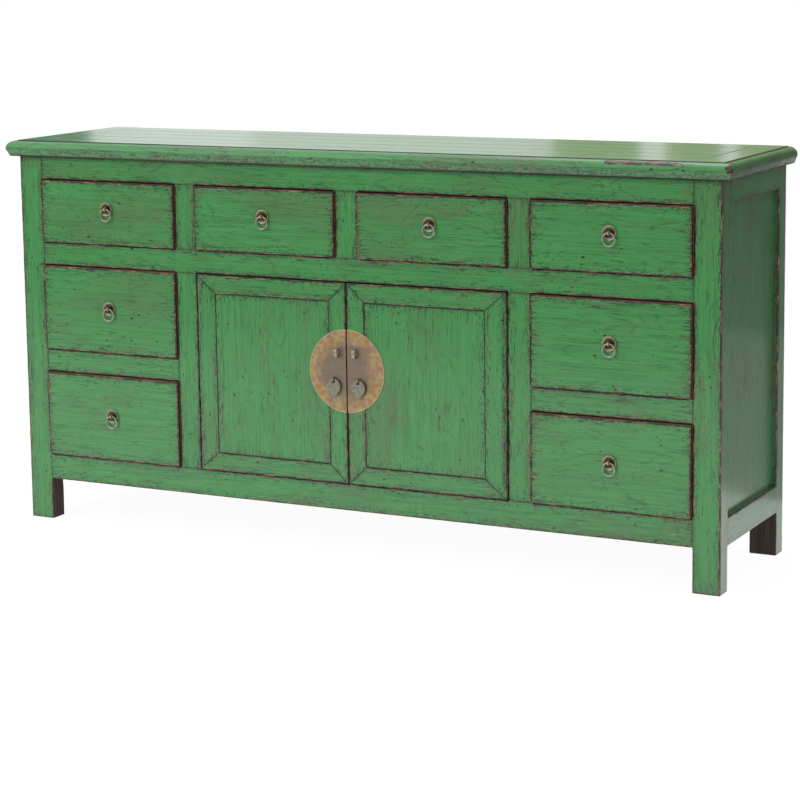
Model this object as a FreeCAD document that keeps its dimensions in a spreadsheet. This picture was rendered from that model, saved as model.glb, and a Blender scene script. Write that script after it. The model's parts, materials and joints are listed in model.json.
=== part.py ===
import FreeCAD, Part
import math
import os
import Sketcher

# A green painted sideboard: eight drawers round two doors, on four square posts.
# X runs to the right, Y to the back and Z up. The origin is under the middle of the whole cabinet.

# Driving sizes in millimetres, one cell each
lengths = {
    # overall and frame
    "total_height": 880,
    "body_width": 1690,
    "body_depth": 400,
    "post_width": 60,
    "post_depth": 44,
    "leg_height": 103,
    "rail_height": 51,
    "rail_depth": 38,
    "stile_width": 52,
    "side_opening_width": 355,
    "lower_opening_height": 196,
    "ear_radius": 8,
    "tenon_length": 28,
    "stub_length": 14,
    "tenon_thickness": 12,
    "tenon_shoulder": 8,
    "overrun": 1,
    # top
    "top_thickness": 36,
    "overhang_side": 24,
    "overhang_front": 20,
    "top_member_width": 84,
    "bead_width": 20,
    "bead_step": 1.5,
    "nose_radius": 17,
    "under_taper": 7,
    "top_board_thickness": 16,
    "tongue": 8,
    "batten_width": 42,
    "post_tenon": 18,
    # sides and back
    "side_rail_thickness": 30,
    "panel_recess": 12,
    "panel_thickness": 10,
    "groove_depth": 6,
    "back_rail_depth": 26,
    "back_stile_width": 90,
    "back_panel_thickness": 8,
    "back_panel_inset": 9,
    # inside
    "floor_thickness": 12,
    "floor_drop": 2,
    "floor_tongue": 5,
    "partition_thickness": 18,
    "shelf_thickness": 16,
    "shelf_height": 205,
    "shelf_setback": 22,
    "cleat": 20,
    "door_stop_width": 12,
    "door_stop_end": 75,
    "door_stop_gap": 0.6,
    "runner_thickness": 20,
    "runner_ledge": 20,
    "runner_rise": 0.7,
    "guide_height": 20,
    # drawers
    "front_thickness": 20,
    "front_stand": 6,
    "front_ease": 1.6,
    "drawer_side_gap": 2,
    "drawer_top_gap": 2.5,
    "drawer_bottom_gap": 1,
    "drawer_stop_gap": 0.5,
    "box_side": 12,
    "box_back": 10,
    "box_back_inset": 8,
    "box_bottom": 7,
    "box_bottom_rise": 8,
    "box_groove": 5,
    "box_drop": 6,
    "box_back_drop": 4,
    "tail_length": 13,
    "tail_flare": 2.5,
    # doors
    "door_thickness": 22,
    "door_stand": 6,
    "door_hinge_gap": 2.5,
    "door_end_gap": 2,
    "meeting_gap": 4,
    "hinge_stile": 48,
    "meeting_stile": 41,
    "door_rail": 40,
    "door_edge_round": 7,
    "pivot_inset": 16,
    "pivot_setback": 13,
    "pivot_radius": 4.5,
    "pivot_clearance": 0.08,
    "pivot_length": 10,
    "pivot_root": 34,
    "pivot_block": 12,
    "pivot_end_gap": 0.4,
    "door_panel_thickness": 14,
    "door_panel_sink": 0.4,
    "door_panel_line": 0.8,
    "door_tongue": 6,
    "hidden_tenon": 8,
    "hidden_tenon_cover": 11,
    "hidden_tenon_hinge_cover": 22,
    # plate, staples and leaves
    "plate_radius": 91,
    "plate_thickness": 1.5,
    "plate_gap": 3,
    "plate_raise": 28.5,
    "staple_raise": 39.5,
    "staple_offset": 21.5,
    "staple_width": 8,
    "staple_height": 19,
    "staple_reach": 12,
    "staple_round": 6,
    "staple_bar": 3,
    "staple_foot": 8,
    "clinch": 1.5,
    "leaf_drop": 18,
    "leaf_offset": 30,
    "leaf_radius": 17,
    "leaf_point": 26.5,
    "leaf_side_shift": 12,
    "leaf_thickness": 2.4,
    "leaf_hole_radius": 3.5,
    "leaf_bar": 3.2,
    # ring pulls
    "rosette_radius": 15.5,
    "rosette_foot_radius": 12.5,
    "rosette_depth": 4,
    "rosette_rim": 1.6,
    "rosette_seat": 1.2,
    "rosette_hole_radius": 3,
    "ring_radius": 13.5,
    "ring_wire": 2,
    "eye_clearance": 0.45,
    "eye_wire": 1.5,
    "shank_height": 3.4,
    "prong_length": 11,
    "upper_pull_raise": 10,
    "lower_pull_raise": 5,
}

# Counts and shares
floor_boards = 8
top_boards = 3
rosette_flats = 12
ring_flats = 14
eye_flats = 8
wire_flats = 5
tail_share = 0.5
tails_upper = 2
tails_lower = 3

doc = FreeCAD.newDocument("sideboard")
sheet = doc.addObject("Spreadsheet::Sheet", "Sizes")
for row, (alias, number) in enumerate(lengths.items(), 1):
    sheet.set(f"A{row}", alias)
    sheet.set(f"B{row}", str(number))
    sheet.setAlias(f"B{row}", alias)
doc.recompute()


class Length:
    """A length that is known both as sheet text, to bind sizes with, and as a number."""

    def __init__(self, text, number):
        self.text = text
        self.number = number

    def __add__(self, other):
        other = length(other)
        return Length(f"({self.text} + {other.text})", self.number + other.number)

    def __sub__(self, other):
        other = length(other)
        return Length(f"({self.text} - {other.text})", self.number - other.number)

    def __neg__(self):
        return Length(f"(-1 * {self.text})", -self.number)

    def __mul__(self, share):
        return Length(f"({self.text} * {share})", self.number * share)

    def __truediv__(self, count):
        return Length(f"({self.text} / {count})", self.number / count)


def length(value):
    return value if isinstance(value, Length) else Length(str(value), value)


def cell(alias):
    return Length(f"Sizes.{alias}", float(sheet.get(alias)))


# Places shared by several pieces
half_width = cell("body_width") / 2
front = (cell("overhang_front") - cell("body_depth")) / 2
back = front + cell("body_depth")
under_top = cell("total_height") - cell("top_thickness")
post_inner = half_width - cell("post_width")
post_back = front + cell("post_depth")
back_post_front = back - cell("post_depth")
rail_back = front + cell("rail_depth")
back_rail_front = back - cell("back_rail_depth")
side_rail_inner = half_width - cell("side_rail_thickness")
outer_stile_outer = post_inner - cell("side_opening_width")
outer_stile_inner = outer_stile_outer - cell("stile_width")
outer_stile_middle = outer_stile_outer - cell("stile_width") / 2
centre_stile_edge = cell("stile_width") / 2

bottom_rail = (cell("leg_height"), cell("leg_height") + cell("rail_height"))
divider = (bottom_rail[1] + cell("lower_opening_height"),
           bottom_rail[1] + cell("lower_opening_height") + cell("rail_height"))
middle_rail = (divider[1] + cell("lower_opening_height"),
               divider[1] + cell("lower_opening_height") + cell("rail_height"))
top_rail = (under_top - cell("rail_height"), under_top)
floor_top = bottom_rail[1] - cell("floor_drop")
floor_low = floor_top - cell("floor_thickness")

nodes = []
hand = {-1: "left", 1: "right"}


def across(side, inner, outer):
    """The low and high X of a piece that lies inner to outer on one side of the middle."""
    return (inner, outer) if side > 0 else (-outer, -inner)


def middle(span):
    return (span[0] + span[1]) / 2


def about(centre, size):
    return (centre - size / 2, centre + size / 2)


def board(name, x, y, z):
    """A squared board between two planes along each axis."""
    piece = doc.addObject("Part::Box", name)
    for size, axis, (low, high) in zip(("Length", "Width", "Height"), "xyz", (x, y, z)):
        piece.setExpression(size, (high - low).text)
        piece.setExpression(f"Placement.Base.{axis}", low.text)
    return piece


def join(name, pieces):
    fused = doc.addObject("Part::MultiFuse", name)
    fused.Shapes = pieces
    return fused


def cut(name, base, tools):
    """The base with its joints cut by the very pieces that seat in it."""
    piece = doc.addObject("Part::Cut", name)
    piece.Base = base
    piece.Tool = tools[0] if len(tools) == 1 else join(f"{name}_cutters", tools)
    return piece


def node(label, pieces):
    part = doc.addObject("Part::Compound", label)
    part.Links = pieces
    part.Label = label
    nodes.append(part)
    return part


def draw(body, role, corners, arcs):
    """A closed sketch whose corners are tied to the sheet; arcs gives a centre to chosen sides."""
    sketch = body.newObject("Sketcher::SketchObject", "outline")
    plane = [one for one in body.Origin.OriginFeatures if one.Role == role][0]
    sketch.AttachmentSupport = [(plane, "")]
    sketch.MapMode = "FlatFace"
    places = [FreeCAD.Vector(u.number, v.number, 0) for u, v in corners]
    ends = []
    for index, start in enumerate(places):
        finish = places[(index + 1) % len(places)]
        if index not in arcs:
            sketch.addGeometry(Part.LineSegment(start, finish), False)
            ends.append((1, 2))
            continue
        centre = FreeCAD.Vector(arcs[index][0].number, arcs[index][1].number, 0)
        turn = (start - centre).cross(finish - centre).z
        first, last = (start, finish) if turn > 0 else (finish, start)
        angles = [math.atan2((at - centre).y, (at - centre).x) for at in (first, last)]
        circle = Part.Circle(centre, FreeCAD.Vector(0, 0, 1), (start - centre).Length)
        sketch.addGeometry(Part.ArcOfCircle(circle, angles[0], angles[1]), False)
        ends.append((1, 2) if turn > 0 else (2, 1))
    for index in range(len(places)):
        after = (index + 1) % len(places)
        joint = Sketcher.Constraint("Coincident", index, ends[index][1], after, ends[after][0])
        sketch.addConstraint(joint)
    for index, corner in enumerate(corners):
        for kind, value in zip(("DistanceX", "DistanceY"), corner):
            tie(sketch, kind, f"{kind}{index}", index, ends[index][0], value)
    for index, centre in arcs.items():
        chord = places[(index + 1) % len(places)] - places[index]
        kind, value = ("DistanceX", centre[0]) if abs(chord.y) >= abs(chord.x) else ("DistanceY", centre[1])
        tie(sketch, kind, f"centre{index}", index, 3, value)
    return sketch


def tie(sketch, kind, name, geometry, point, value):
    rule = sketch.addConstraint(Sketcher.Constraint(kind, -1, 1, geometry, point, value.number))
    sketch.renameConstraint(rule, name)
    sketch.setExpression(f"Constraints.{name}", value.text)


def prism(name, role, corners, span, arcs=None):
    """A body padded from a sketch; span is its low and high place along the third axis."""
    body = doc.addObject("PartDesign::Body", name)
    sketch = draw(body, role, corners, arcs or {})
    pad = body.newObject("PartDesign::Pad", "pad")
    pad.Profile = sketch
    pad.setExpression("Length", (span[1] - span[0]).text)
    axis, start = {"XY_Plane": ("z", span[0]), "YZ_Plane": ("x", span[0]), "XZ_Plane": ("y", span[1])}[role]
    body.setExpression(f"Placement.Base.{axis}", start.text)
    return body


def rectangle(u, v):
    return [(u[0], v[0]), (u[1], v[0]), (u[1], v[1]), (u[0], v[1])]


def ease_front(body, ease, thickness):
    """Takes the sharp arris off the four edges of the front face that a pad ends in."""
    doc.recompute()
    pad = body.Tip
    chosen = [f"Edge{index}" for index, edge in enumerate(pad.Shape.Edges, 1)
              if edge.BoundBox.YMax < -thickness.number / 2]
    chamfer = body.newObject("PartDesign::Chamfer", "eased_arris")
    chamfer.Base = (pad, chosen)
    chamfer.setExpression("Size", ease.text)
    return body


def rod(name, radius, centre, direction, size):
    """A round bar from a centre along Z or towards the front."""
    piece = doc.addObject("Part::Cylinder", name)
    piece.setExpression("Radius", radius.text)
    piece.setExpression("Height", size.text)
    if direction == "front":
        piece.Placement.Rotation = FreeCAD.Rotation(FreeCAD.Vector(1, 0, 0), 90)
    for axis, value in zip("xyz", centre):
        piece.setExpression(f"Placement.Base.{axis}", value.text)
    return piece


def filed(name, centre, profile, flats, upright=False):
    """A closed profile of radius and offset pairs, turned about Y, or about X when upright, in flats."""
    rows = []
    for flat in range(flats):
        angle = 2 * math.pi * (flat + 0.5) / flats
        row = []
        for radius, offset in profile:
            away, height = radius * math.sin(angle), radius * math.cos(angle)
            spot = (offset, away, height) if upright else (away, offset, height)
            row.append(FreeCAD.Vector(*spot))
        rows.append(row)
    faces = []
    for here, there in zip(rows, rows[1:] + rows[:1]):
        for corner in range(len(profile)):
            after = (corner + 1) % len(profile)
            loop = [here[corner], here[after], there[after], there[corner], here[corner]]
            faces.append(Part.Face(Part.makePolygon(loop)))
    solid = Part.Solid(Part.Shell(faces))
    if solid.Volume < 0:
        solid.reverse()
    piece = doc.addObject("Part::Feature", name)
    piece.Shape = solid
    for axis, value in zip("xyz", centre):
        piece.setExpression(f"Placement.Base.{axis}", value.text)
    return piece


def wire_profile(radius, wire):
    """The corners of a bent wire's section, at its radius from the middle of the bend."""
    turns = [2 * math.pi * corner / wire_flats for corner in range(wire_flats)]
    return [(radius.number + wire.number * math.cos(turn), wire.number * math.sin(turn)) for turn in turns]


# Frame: rails and stiles with tenons, posts that their joints are cut in

def tenoned_rail(name, x, y, z, reach):
    """A rail along X with a tenon at each end."""
    tenon_z = (z[0] + cell("tenon_shoulder"), z[1] - cell("tenon_shoulder"))
    tenon_y = about(middle(y), cell("tenon_thickness"))
    tenons = board(f"{name}_tenons", (x[0] - reach[0], x[1] + reach[1]), tenon_y, tenon_z)
    return join(name, [board(f"{name}_board", x, y, z), tenons])


def tenoned_stile(name, x, y, z):
    tenon_x = (x[0] + cell("tenon_shoulder"), x[1] - cell("tenon_shoulder"))
    tenon_y = about(middle(y), cell("tenon_thickness"))
    tenon_z = (z[0] - cell("stub_length"), z[1] + cell("stub_length"))
    tenons = board(f"{name}_tenons", tenon_x, tenon_y, tenon_z)
    return join(name, [board(f"{name}_board", x, y, z), tenons])


def tenoned_side_rail(name, side, z):
    x = across(side, side_rail_inner, half_width)
    y = (post_back, back_post_front)
    tenon_z = (z[0] + cell("tenon_shoulder"), z[1] - cell("tenon_shoulder"))
    tenon_x = about(middle(x), cell("tenon_thickness"))
    tenon_y = (y[0] - cell("tenon_length"), y[1] + cell("tenon_length"))
    tenons = board(f"{name}_tenons", tenon_x, tenon_y, tenon_z)
    return join(name, [board(f"{name}_board", x, y, z), tenons])


between_posts = (-post_inner, post_inner)
rail_y = (front, rail_back)
back_y = (back_rail_front, back)
post_reach = (cell("tenon_length"), cell("tenon_length"))
lower_stile_z = (bottom_rail[1], middle_rail[0])
upper_stile_z = (middle_rail[1], top_rail[0])

raw_top_rail = tenoned_rail("top_rail_raw", between_posts, rail_y, top_rail, post_reach)
raw_middle_rail = tenoned_rail("middle_rail_raw", between_posts, rail_y, middle_rail, post_reach)

stiles = []
for side in (-1, 1):
    x = across(side, outer_stile_inner, outer_stile_outer)
    stiles.append(tenoned_stile(f"upper_stile_{hand[side]}", x, rail_y, upper_stile_z))
    stiles.append(tenoned_stile(f"lower_stile_{hand[side]}", x, rail_y, lower_stile_z))
stiles.append(tenoned_stile("centre_stile", (-centre_stile_edge, centre_stile_edge), rail_y, upper_stile_z))

dividers = []
for side in (-1, 1):
    x = across(side, outer_stile_outer, post_inner)
    reach = (cell("stub_length"), cell("tenon_length"))
    if side < 0:
        reach = (reach[1], reach[0])
    dividers.append(tenoned_rail(f"divider_{hand[side]}", x, rail_y, divider, reach))

raw_bottom_rail = tenoned_rail("bottom_rail_raw", between_posts, rail_y, bottom_rail, post_reach)

# A small hollow ear fills each corner between the bottom rail and a leg
ears = []
ear = cell("ear_radius")
for side in (-1, 1):
    corner, low = post_inner * side, bottom_rail[0]
    tip = (post_inner - ear) * side
    corners = [(tip, low), (corner, low - ear), (corner, low)]
    ears.append(prism(f"ear_{hand[side]}", "XZ_Plane", corners, rail_y, {0: (tip, low - ear)}))

side_rails = []
side_panels = {}
for side in (-1, 1):
    side_rails.append(tenoned_side_rail(f"side_top_rail_{hand[side]}", side, top_rail))
    side_rails.append(tenoned_side_rail(f"side_bottom_rail_{hand[side]}", side, bottom_rail))
    panel_face = half_width - cell("panel_recess")
    groove = cell("groove_depth")
    side_panels[side] = board(f"side_panel_{hand[side]}",
                              across(side, panel_face - cell("panel_thickness"), panel_face),
                              (post_back - groove, back_post_front + groove),
                              (bottom_rail[1] - groove, top_rail[0] + groove))

# Back frame with six thin panels in its grooves
back_rails = []
for place, z in (("top", top_rail), ("middle", middle_rail), ("bottom", bottom_rail)):
    back_rails.append(tenoned_rail(f"back_{place}_rail", between_posts, back_y, z, post_reach))
back_stiles = []
back_stile_span = about(outer_stile_middle, cell("back_stile_width"))
for side in (-1, 1):
    x = across(side, back_stile_span[0], back_stile_span[1])
    back_stiles.append(tenoned_stile(f"back_upper_stile_{hand[side]}", x, back_y, upper_stile_z))
    back_stiles.append(tenoned_stile(f"back_lower_stile_{hand[side]}", x, back_y, lower_stile_z))
back_panels = []
panel_y = (back_rail_front + cell("back_panel_inset"),
           back_rail_front + cell("back_panel_inset") + cell("back_panel_thickness"))
for z in (lower_stile_z, upper_stile_z):
    for x in ((-post_inner, -back_stile_span[1]), (-back_stile_span[0], back_stile_span[0]),
              (back_stile_span[1], post_inner)):
        groove = cell("groove_depth")
        back_panels.append(board(f"back_panel_{len(back_panels)}", (x[0] - groove, x[1] + groove), panel_y,
                                 (z[0] - groove, z[1] + groove)))

# Floor boards run front to back in grooves; the end ones are notched round the posts
post_y = {"front": (front, post_back), "back": (back_post_front, back)}
raw_posts = {}
post_tenons = []
for place, y in post_y.items():
    for side in (-1, 1):
        x = across(side, post_inner, half_width)
        post_tenon = cell("post_tenon")
        post_tenons.append(board(f"{place}_post_tenon_{hand[side]}", about(middle(x), post_tenon),
                                 about(middle(y), post_tenon), (under_top, under_top + post_tenon)))
        post = board(f"{place}_post_board_{hand[side]}", x, y, (length(0), under_top))
        raw_posts[place, side] = join(f"{place}_post_raw_{hand[side]}", [post, post_tenons[-1]])
floor = []
floor_width = side_rail_inner * 2 / floor_boards
floor_y = (rail_back - cell("floor_tongue"), back_rail_front + cell("floor_tongue"))
for index in range(floor_boards):
    start = -side_rail_inner + floor_width * index
    plank = board(f"floor_plank_{index}", (start, start + floor_width), floor_y, (floor_low, floor_top))
    if index in (0, floor_boards - 1):
        side = -1 if index == 0 else 1
        plank = cut(f"floor_end_{index}", plank, [raw_posts["front", side], raw_posts["back", side]])
    floor.append(plank)

# Posts and rails take the joints of everything that seats in them
front_rails = [raw_top_rail, raw_middle_rail, raw_bottom_rail]
for place, seated in (("front", front_rails + dividers), ("back", back_rails + back_panels)):
    posts = []
    for side in (-1, 1):
        tools = seated + side_rails + [side_panels[side]]
        posts.append(cut(f"{place}_post_{hand[side]}", raw_posts[place, side], tools))
    node(f"{place}_posts", posts)

node("front_top_rail", [cut("top_rail_cut", raw_top_rail, stiles)])
pivot_x = outer_stile_inner - cell("door_hinge_gap") - cell("pivot_inset")
pivot_y = front - cell("door_stand") + cell("pivot_setback")
pivot_hole = cell("pivot_radius") + cell("pivot_clearance")
socket_depth = cell("pivot_length") + cell("pivot_end_gap")
sockets = {}
for place, low in (("low", bottom_rail[1] - socket_depth), ("high", middle_rail[0] - cell("overrun"))):
    for side in (-1, 1):
        foot = (pivot_x * side, pivot_y, low)
        sockets[place, side] = rod(f"{place}_socket_{hand[side]}", pivot_hole, foot, "up",
                                   socket_depth + cell("overrun"))
middle_tools = stiles + [sockets["high", -1], sockets["high", 1]]
door_back = front - cell("door_stand") + cell("door_thickness")
door_stop_reach = outer_stile_inner - cell("door_stop_end")
door_stop = board("door_stop", (-door_stop_reach, door_stop_reach),
                  (door_back + cell("door_stop_gap"), rail_back),
                  (middle_rail[0] - cell("door_stop_width"), middle_rail[0]))
node("front_middle_rail", [cut("middle_rail_cut", raw_middle_rail, middle_tools), door_stop])
bottom_tools = stiles + floor + [sockets["low", -1], sockets["low", 1]]
node("front_bottom_rail", [cut("bottom_rail_cut", raw_bottom_rail, bottom_tools)] + ears)
node("front_stiles", [cut(f"stile_cut_{index}", stile, dividers) for index, stile in enumerate(stiles)])
node("drawer_dividers", dividers)
node("side_rails", [cut(f"side_rail_cut_{index}", rail, [side_panels[-1 if index < 2 else 1]])
                    for index, rail in enumerate(side_rails)])
node("left_side_panel", [side_panels[-1]])
node("right_side_panel", [side_panels[1]])
back_frame = [cut(f"back_rail_cut_{index}", rail, back_stiles + back_panels + floor)
              for index, rail in enumerate(back_rails)]
back_frame += [cut(f"back_stile_cut_{index}", stile, back_panels) for index, stile in enumerate(back_stiles)]
node("back_rails", back_frame)
node("back_panel", back_panels)
node("bottom_boards", floor)

# Top: mitred front corners, a rounded nose that tapers in below, boards tongued into the frame
top_low, top_high = under_top, cell("total_height")
width = cell("top_member_width")
nose_line = top_high - cell("bead_step") - cell("nose_radius")


def nosed_profile(edge, inward):
    """Corners of a top member from its inner face to its nose; inward is 1 or -1 along its axis."""
    def at(distance):
        return edge + distance * inward
    corners = [(at(width), top_low), (at(width), top_high), (at(cell("bead_width")), top_high),
               (at(cell("bead_width")), top_high - cell("bead_step")),
               (at(cell("nose_radius")), top_high - cell("bead_step")),
               (at(length(0)), nose_line), (at(cell("under_taper")), top_low)]
    return corners, {4: (at(cell("nose_radius")), nose_line)}


top_front = front - cell("overhang_front")
top_edge = half_width + cell("overhang_side")
corners, arcs = nosed_profile(top_front, 1)
front_bar = prism("top_front_bar", "YZ_Plane", corners, (-top_edge, top_edge), arcs)
over = cell("overrun")
high_span = (top_low - over, top_high + over)
inner_edge = top_edge - width
front_inner = top_front + width
mitres = {}
top_members = []
for side in (-1, 1):
    corner = top_edge + over
    outside = [(corner * side, top_front - over), (corner * side, front_inner + over),
               ((inner_edge - over) * side, front_inner + over)]
    inside = [(corner * side, top_front - over), ((inner_edge - over) * side, top_front - over),
              ((inner_edge - over) * side, front_inner + over)]
    mitres[side] = prism(f"mitre_outside_{hand[side]}", "XY_Plane", outside, high_span)
    waste = prism(f"mitre_inside_{hand[side]}", "XY_Plane", inside, high_span)
    corners, arcs = nosed_profile(top_edge * side, -side)
    side_bar = prism(f"top_side_bar_{hand[side]}", "XZ_Plane", corners, (top_front, back), arcs)
    top_members.append(cut(f"top_side_mitred_{hand[side]}", side_bar, [waste]))
top_members.append(cut("top_front_mitred", front_bar, [mitres[-1], mitres[1]]))
tongue = cell("tongue")
back_member = board("top_back_board", (-inner_edge, inner_edge), (back - width, back), (top_low, top_high))
back_tenon_end = inner_edge + cell("tenon_length")
back_tenons = board("top_back_tenons", (-back_tenon_end, back_tenon_end),
                    (back - width + tongue * 2, back - tongue * 2),
                    about(middle((top_low, top_high)), tongue))
top_members.append(join("top_back_member", [back_member, back_tenons]))

boards = []
field = (front_inner, back - width)
board_width = (field[1] - field[0]) / top_boards
board_low = top_high - cell("top_board_thickness")
tongue_z = about((board_low + top_high) / 2, tongue)
for index in range(top_boards):
    low = field[0] + board_width * index
    high = low + board_width
    plank = board(f"top_plank_{index}", (-inner_edge, inner_edge), (low, high), (board_low, top_high))
    first, last = index == 0, index == top_boards - 1
    tongue_y = (low - tongue if first else low, high + tongue if last else high)
    tongue_x = (-inner_edge - tongue, inner_edge + tongue)
    edge_tongue = board(f"top_tongue_{index}", tongue_x, tongue_y, tongue_z)
    boards.append(join(f"top_board_{index}", [plank, edge_tongue]))
battens = []
for index, middle_x in enumerate((-outer_stile_middle, length(0), outer_stile_middle)):
    battens.append(board(f"top_batten_{index}", about(middle_x, cell("batten_width")),
                         (field[0] - tongue, field[1] + tongue), (top_low + tongue, board_low)))
left_member, right_member, front_member, back_member = top_members
in_top = boards + battens + post_tenons
node("top_frame", [cut("top_left", left_member, in_top + [back_member]),
                   cut("top_right", right_member, in_top + [back_member]),
                   cut("top_front", front_member, in_top),
                   cut("top_back", back_member, in_top)])
node("top_boards", boards + battens)

# Inside: partitions beside the doors, a shelf on cleats, runners and guides for the drawers
runner_low = middle_rail[1] + cell("runner_rise") - cell("runner_thickness")
partition_inner, partition_outer = about(outer_stile_middle, cell("partition_thickness"))
partitions = []
for side in (-1, 1):
    x = across(side, partition_inner, partition_outer)
    partitions.append(board(f"partition_{hand[side]}", x, (rail_back, back_rail_front),
                            (floor_top, runner_low)))
node("partitions", partitions)

shelf_low = floor_top + cell("shelf_height") - cell("shelf_thickness")
shelf_front = rail_back + cell("shelf_setback")
cleat = cell("cleat")
shelf = [board("shelf_board", (-partition_inner, partition_inner), (shelf_front, back_rail_front),
               (shelf_low, shelf_low + cell("shelf_thickness")))]
for side in (-1, 1):
    shelf.append(board(f"shelf_cleat_{hand[side]}", across(side, partition_inner - cleat, partition_inner),
                       (shelf_front + cleat, back_rail_front), (shelf_low - cleat, shelf_low)))
node("door_shelf", shelf)

runners = []
inner_y = (rail_back, back_rail_front)
outer_y = (post_back, back_post_front)
for level, rail_top in enumerate((bottom_rail[1], divider[1], middle_rail[1])):
    seat = rail_top + cell("runner_rise")
    low = floor_top if level == 0 else seat - cell("runner_thickness")
    guide_z = (seat, seat + cell("guide_height"))
    lines = []
    for side in (-1, 1):
        lines.append((across(side, post_inner - cell("runner_ledge"), side_rail_inner),
                      across(side, post_inner, side_rail_inner), outer_y))
        inner_ledge = outer_stile_outer + cell("runner_ledge")
        if level < 2:
            lines.append((across(side, partition_outer, inner_ledge),
                          across(side, partition_outer, outer_stile_outer), inner_y))
        else:
            lines.append((across(side, outer_stile_inner - cell("runner_ledge"), inner_ledge),
                          across(side, outer_stile_inner, outer_stile_outer), inner_y))
    if level == 2:
        ledge = centre_stile_edge + cell("runner_ledge")
        lines.append(((-ledge, ledge), (-centre_stile_edge, centre_stile_edge), inner_y))
    for index, (ledge_x, guide_x, y) in enumerate(lines):
        runners.append(board(f"runner_{level}_{index}", ledge_x, y, (low, seat)))
        runners.append(board(f"guide_{level}_{index}", guide_x, y, guide_z))
node("drawer_runners", runners)


# Hardware. A ring hangs by the middle of a flat, and an eye bears on the middle of one

ring_flat_share = math.cos(math.pi / ring_flats)
eye_flat_share = math.cos(math.pi / eye_flats)
eye_inner = cell("ring_wire") + cell("eye_clearance")
eye_reach = (eye_inner + cell("eye_wire") * 2) * eye_flat_share


def cotter(name, centre, wood_back):
    """A split pin: an eye in front, a shank through the board and its ends turned over behind."""
    wire = cell("eye_wire")
    eye = filed(f"{name}_eye", centre, wire_profile(eye_inner + wire, wire), eye_flats, upright=True)
    across_pin = about(centre[0], wire * 2)
    shank = board(f"{name}_shank", across_pin, (centre[1] + eye_inner + wire, wood_back + cell("clinch")),
                  about(centre[2], cell("shank_height")))
    prongs = board(f"{name}_prongs", across_pin, (wood_back, wood_back + cell("clinch")),
                   about(centre[2], cell("prong_length") * 2))
    return join(name, [eye, shank, prongs])


def rosette(name, centre):
    """A dished washer whose rim stands off the wood and whose middle the eye is drawn against."""
    rim, seat = -cell("rosette_depth").number, -cell("rosette_seat").number
    outer, hole = cell("rosette_radius").number, cell("rosette_hole_radius").number
    foot, inner = cell("rosette_foot_radius").number, outer - cell("rosette_rim").number
    profile = [(foot, 0), (outer, rim), (inner, rim), (hole, seat), (hole, 0)]
    return filed(name, centre, profile, rosette_flats)


# Drawers

def drawer_side(name, x, y_root, y_rear, z, tails):
    """A drawer side whose front end is cut in dovetails."""
    y_tip = y_root - cell("tail_length")
    pitch = (z[1] - z[0]) / tails
    outline = [(y_root, z[0]), (y_rear, z[0]), (y_rear, z[1]), (y_root, z[1])]
    for tail in reversed(range(tails)):
        centre = z[0] + pitch * (tail + 0.5)
        root = pitch * tail_share / 2
        tip = root + cell("tail_flare")
        outline += [(y_root, centre + root), (y_tip, centre + tip),
                    (y_tip, centre - tip), (y_root, centre - root)]
    return prism(name, "YZ_Plane", outline, x)


def drawer(number, opening_x, opening_z, raise_by, tails):
    name = f"drawer_{number}"
    x = (opening_x[0] + cell("drawer_side_gap"), opening_x[1] - cell("drawer_side_gap"))
    z = (opening_z[0] + cell("drawer_bottom_gap"), opening_z[1] - cell("drawer_top_gap"))
    face = front - cell("front_stand")
    wood_back = face + cell("front_thickness")
    rear = back_rail_front - cell("drawer_stop_gap")
    slab = prism(f"{name}_slab", "XZ_Plane", rectangle(x, z), (face, wood_back))
    ease_front(slab, cell("front_ease"), cell("front_thickness"))
    box_z = (z[0], z[1] - cell("box_drop"))
    wall = cell("box_side")
    raw_sides = [drawer_side(f"{name}_side_raw_{index}", span, wood_back, rear, box_z, tails)
                 for index, span in enumerate(((x[0], x[0] + wall), (x[1] - wall, x[1])))]
    groove = cell("box_groove")
    inside = (x[0] + wall, x[1] - wall)
    bottom_z = (z[0] + cell("box_bottom_rise"), z[0] + cell("box_bottom_rise") + cell("box_bottom"))
    bottom = board(f"{name}_bottom", (inside[0] - groove, inside[1] + groove), (wood_back - groove, rear),
                   bottom_z)
    back_board_y = (rear - cell("box_back_inset") - cell("box_back"), rear - cell("box_back_inset"))
    rear_board = board(f"{name}_rear", (inside[0] - groove, inside[1] + groove), back_board_y,
                       (bottom_z[1], box_z[1] - cell("box_back_drop")))
    sides = [cut(f"{name}_side_{index}", raw, [bottom, rear_board]) for index, raw in enumerate(raw_sides)]
    pull_x, pull_z = middle(opening_x), middle(opening_z) + raise_by
    eye_centre = (pull_x, face - cell("rosette_seat") - eye_reach, pull_z)
    pin = cotter(f"{name}_cotter", eye_centre, wood_back)
    node(f"{name}_front", [cut(f"{name}_front_cut", slab, raw_sides + [bottom, pin])])
    node(f"{name}_box", sides + [rear_board, bottom])
    node(f"{name}_pull", [rosette(f"{name}_rosette", (pull_x, face, pull_z)), pin])
    ring_centre = (eye_centre[0], eye_centre[1], eye_centre[2] - cell("ring_radius") * ring_flat_share)
    profile = wire_profile(cell("ring_radius"), cell("ring_wire"))
    node(f"{name}_ring", [filed(f"{name}_ring_bar", ring_centre, profile, ring_flats)])


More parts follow.
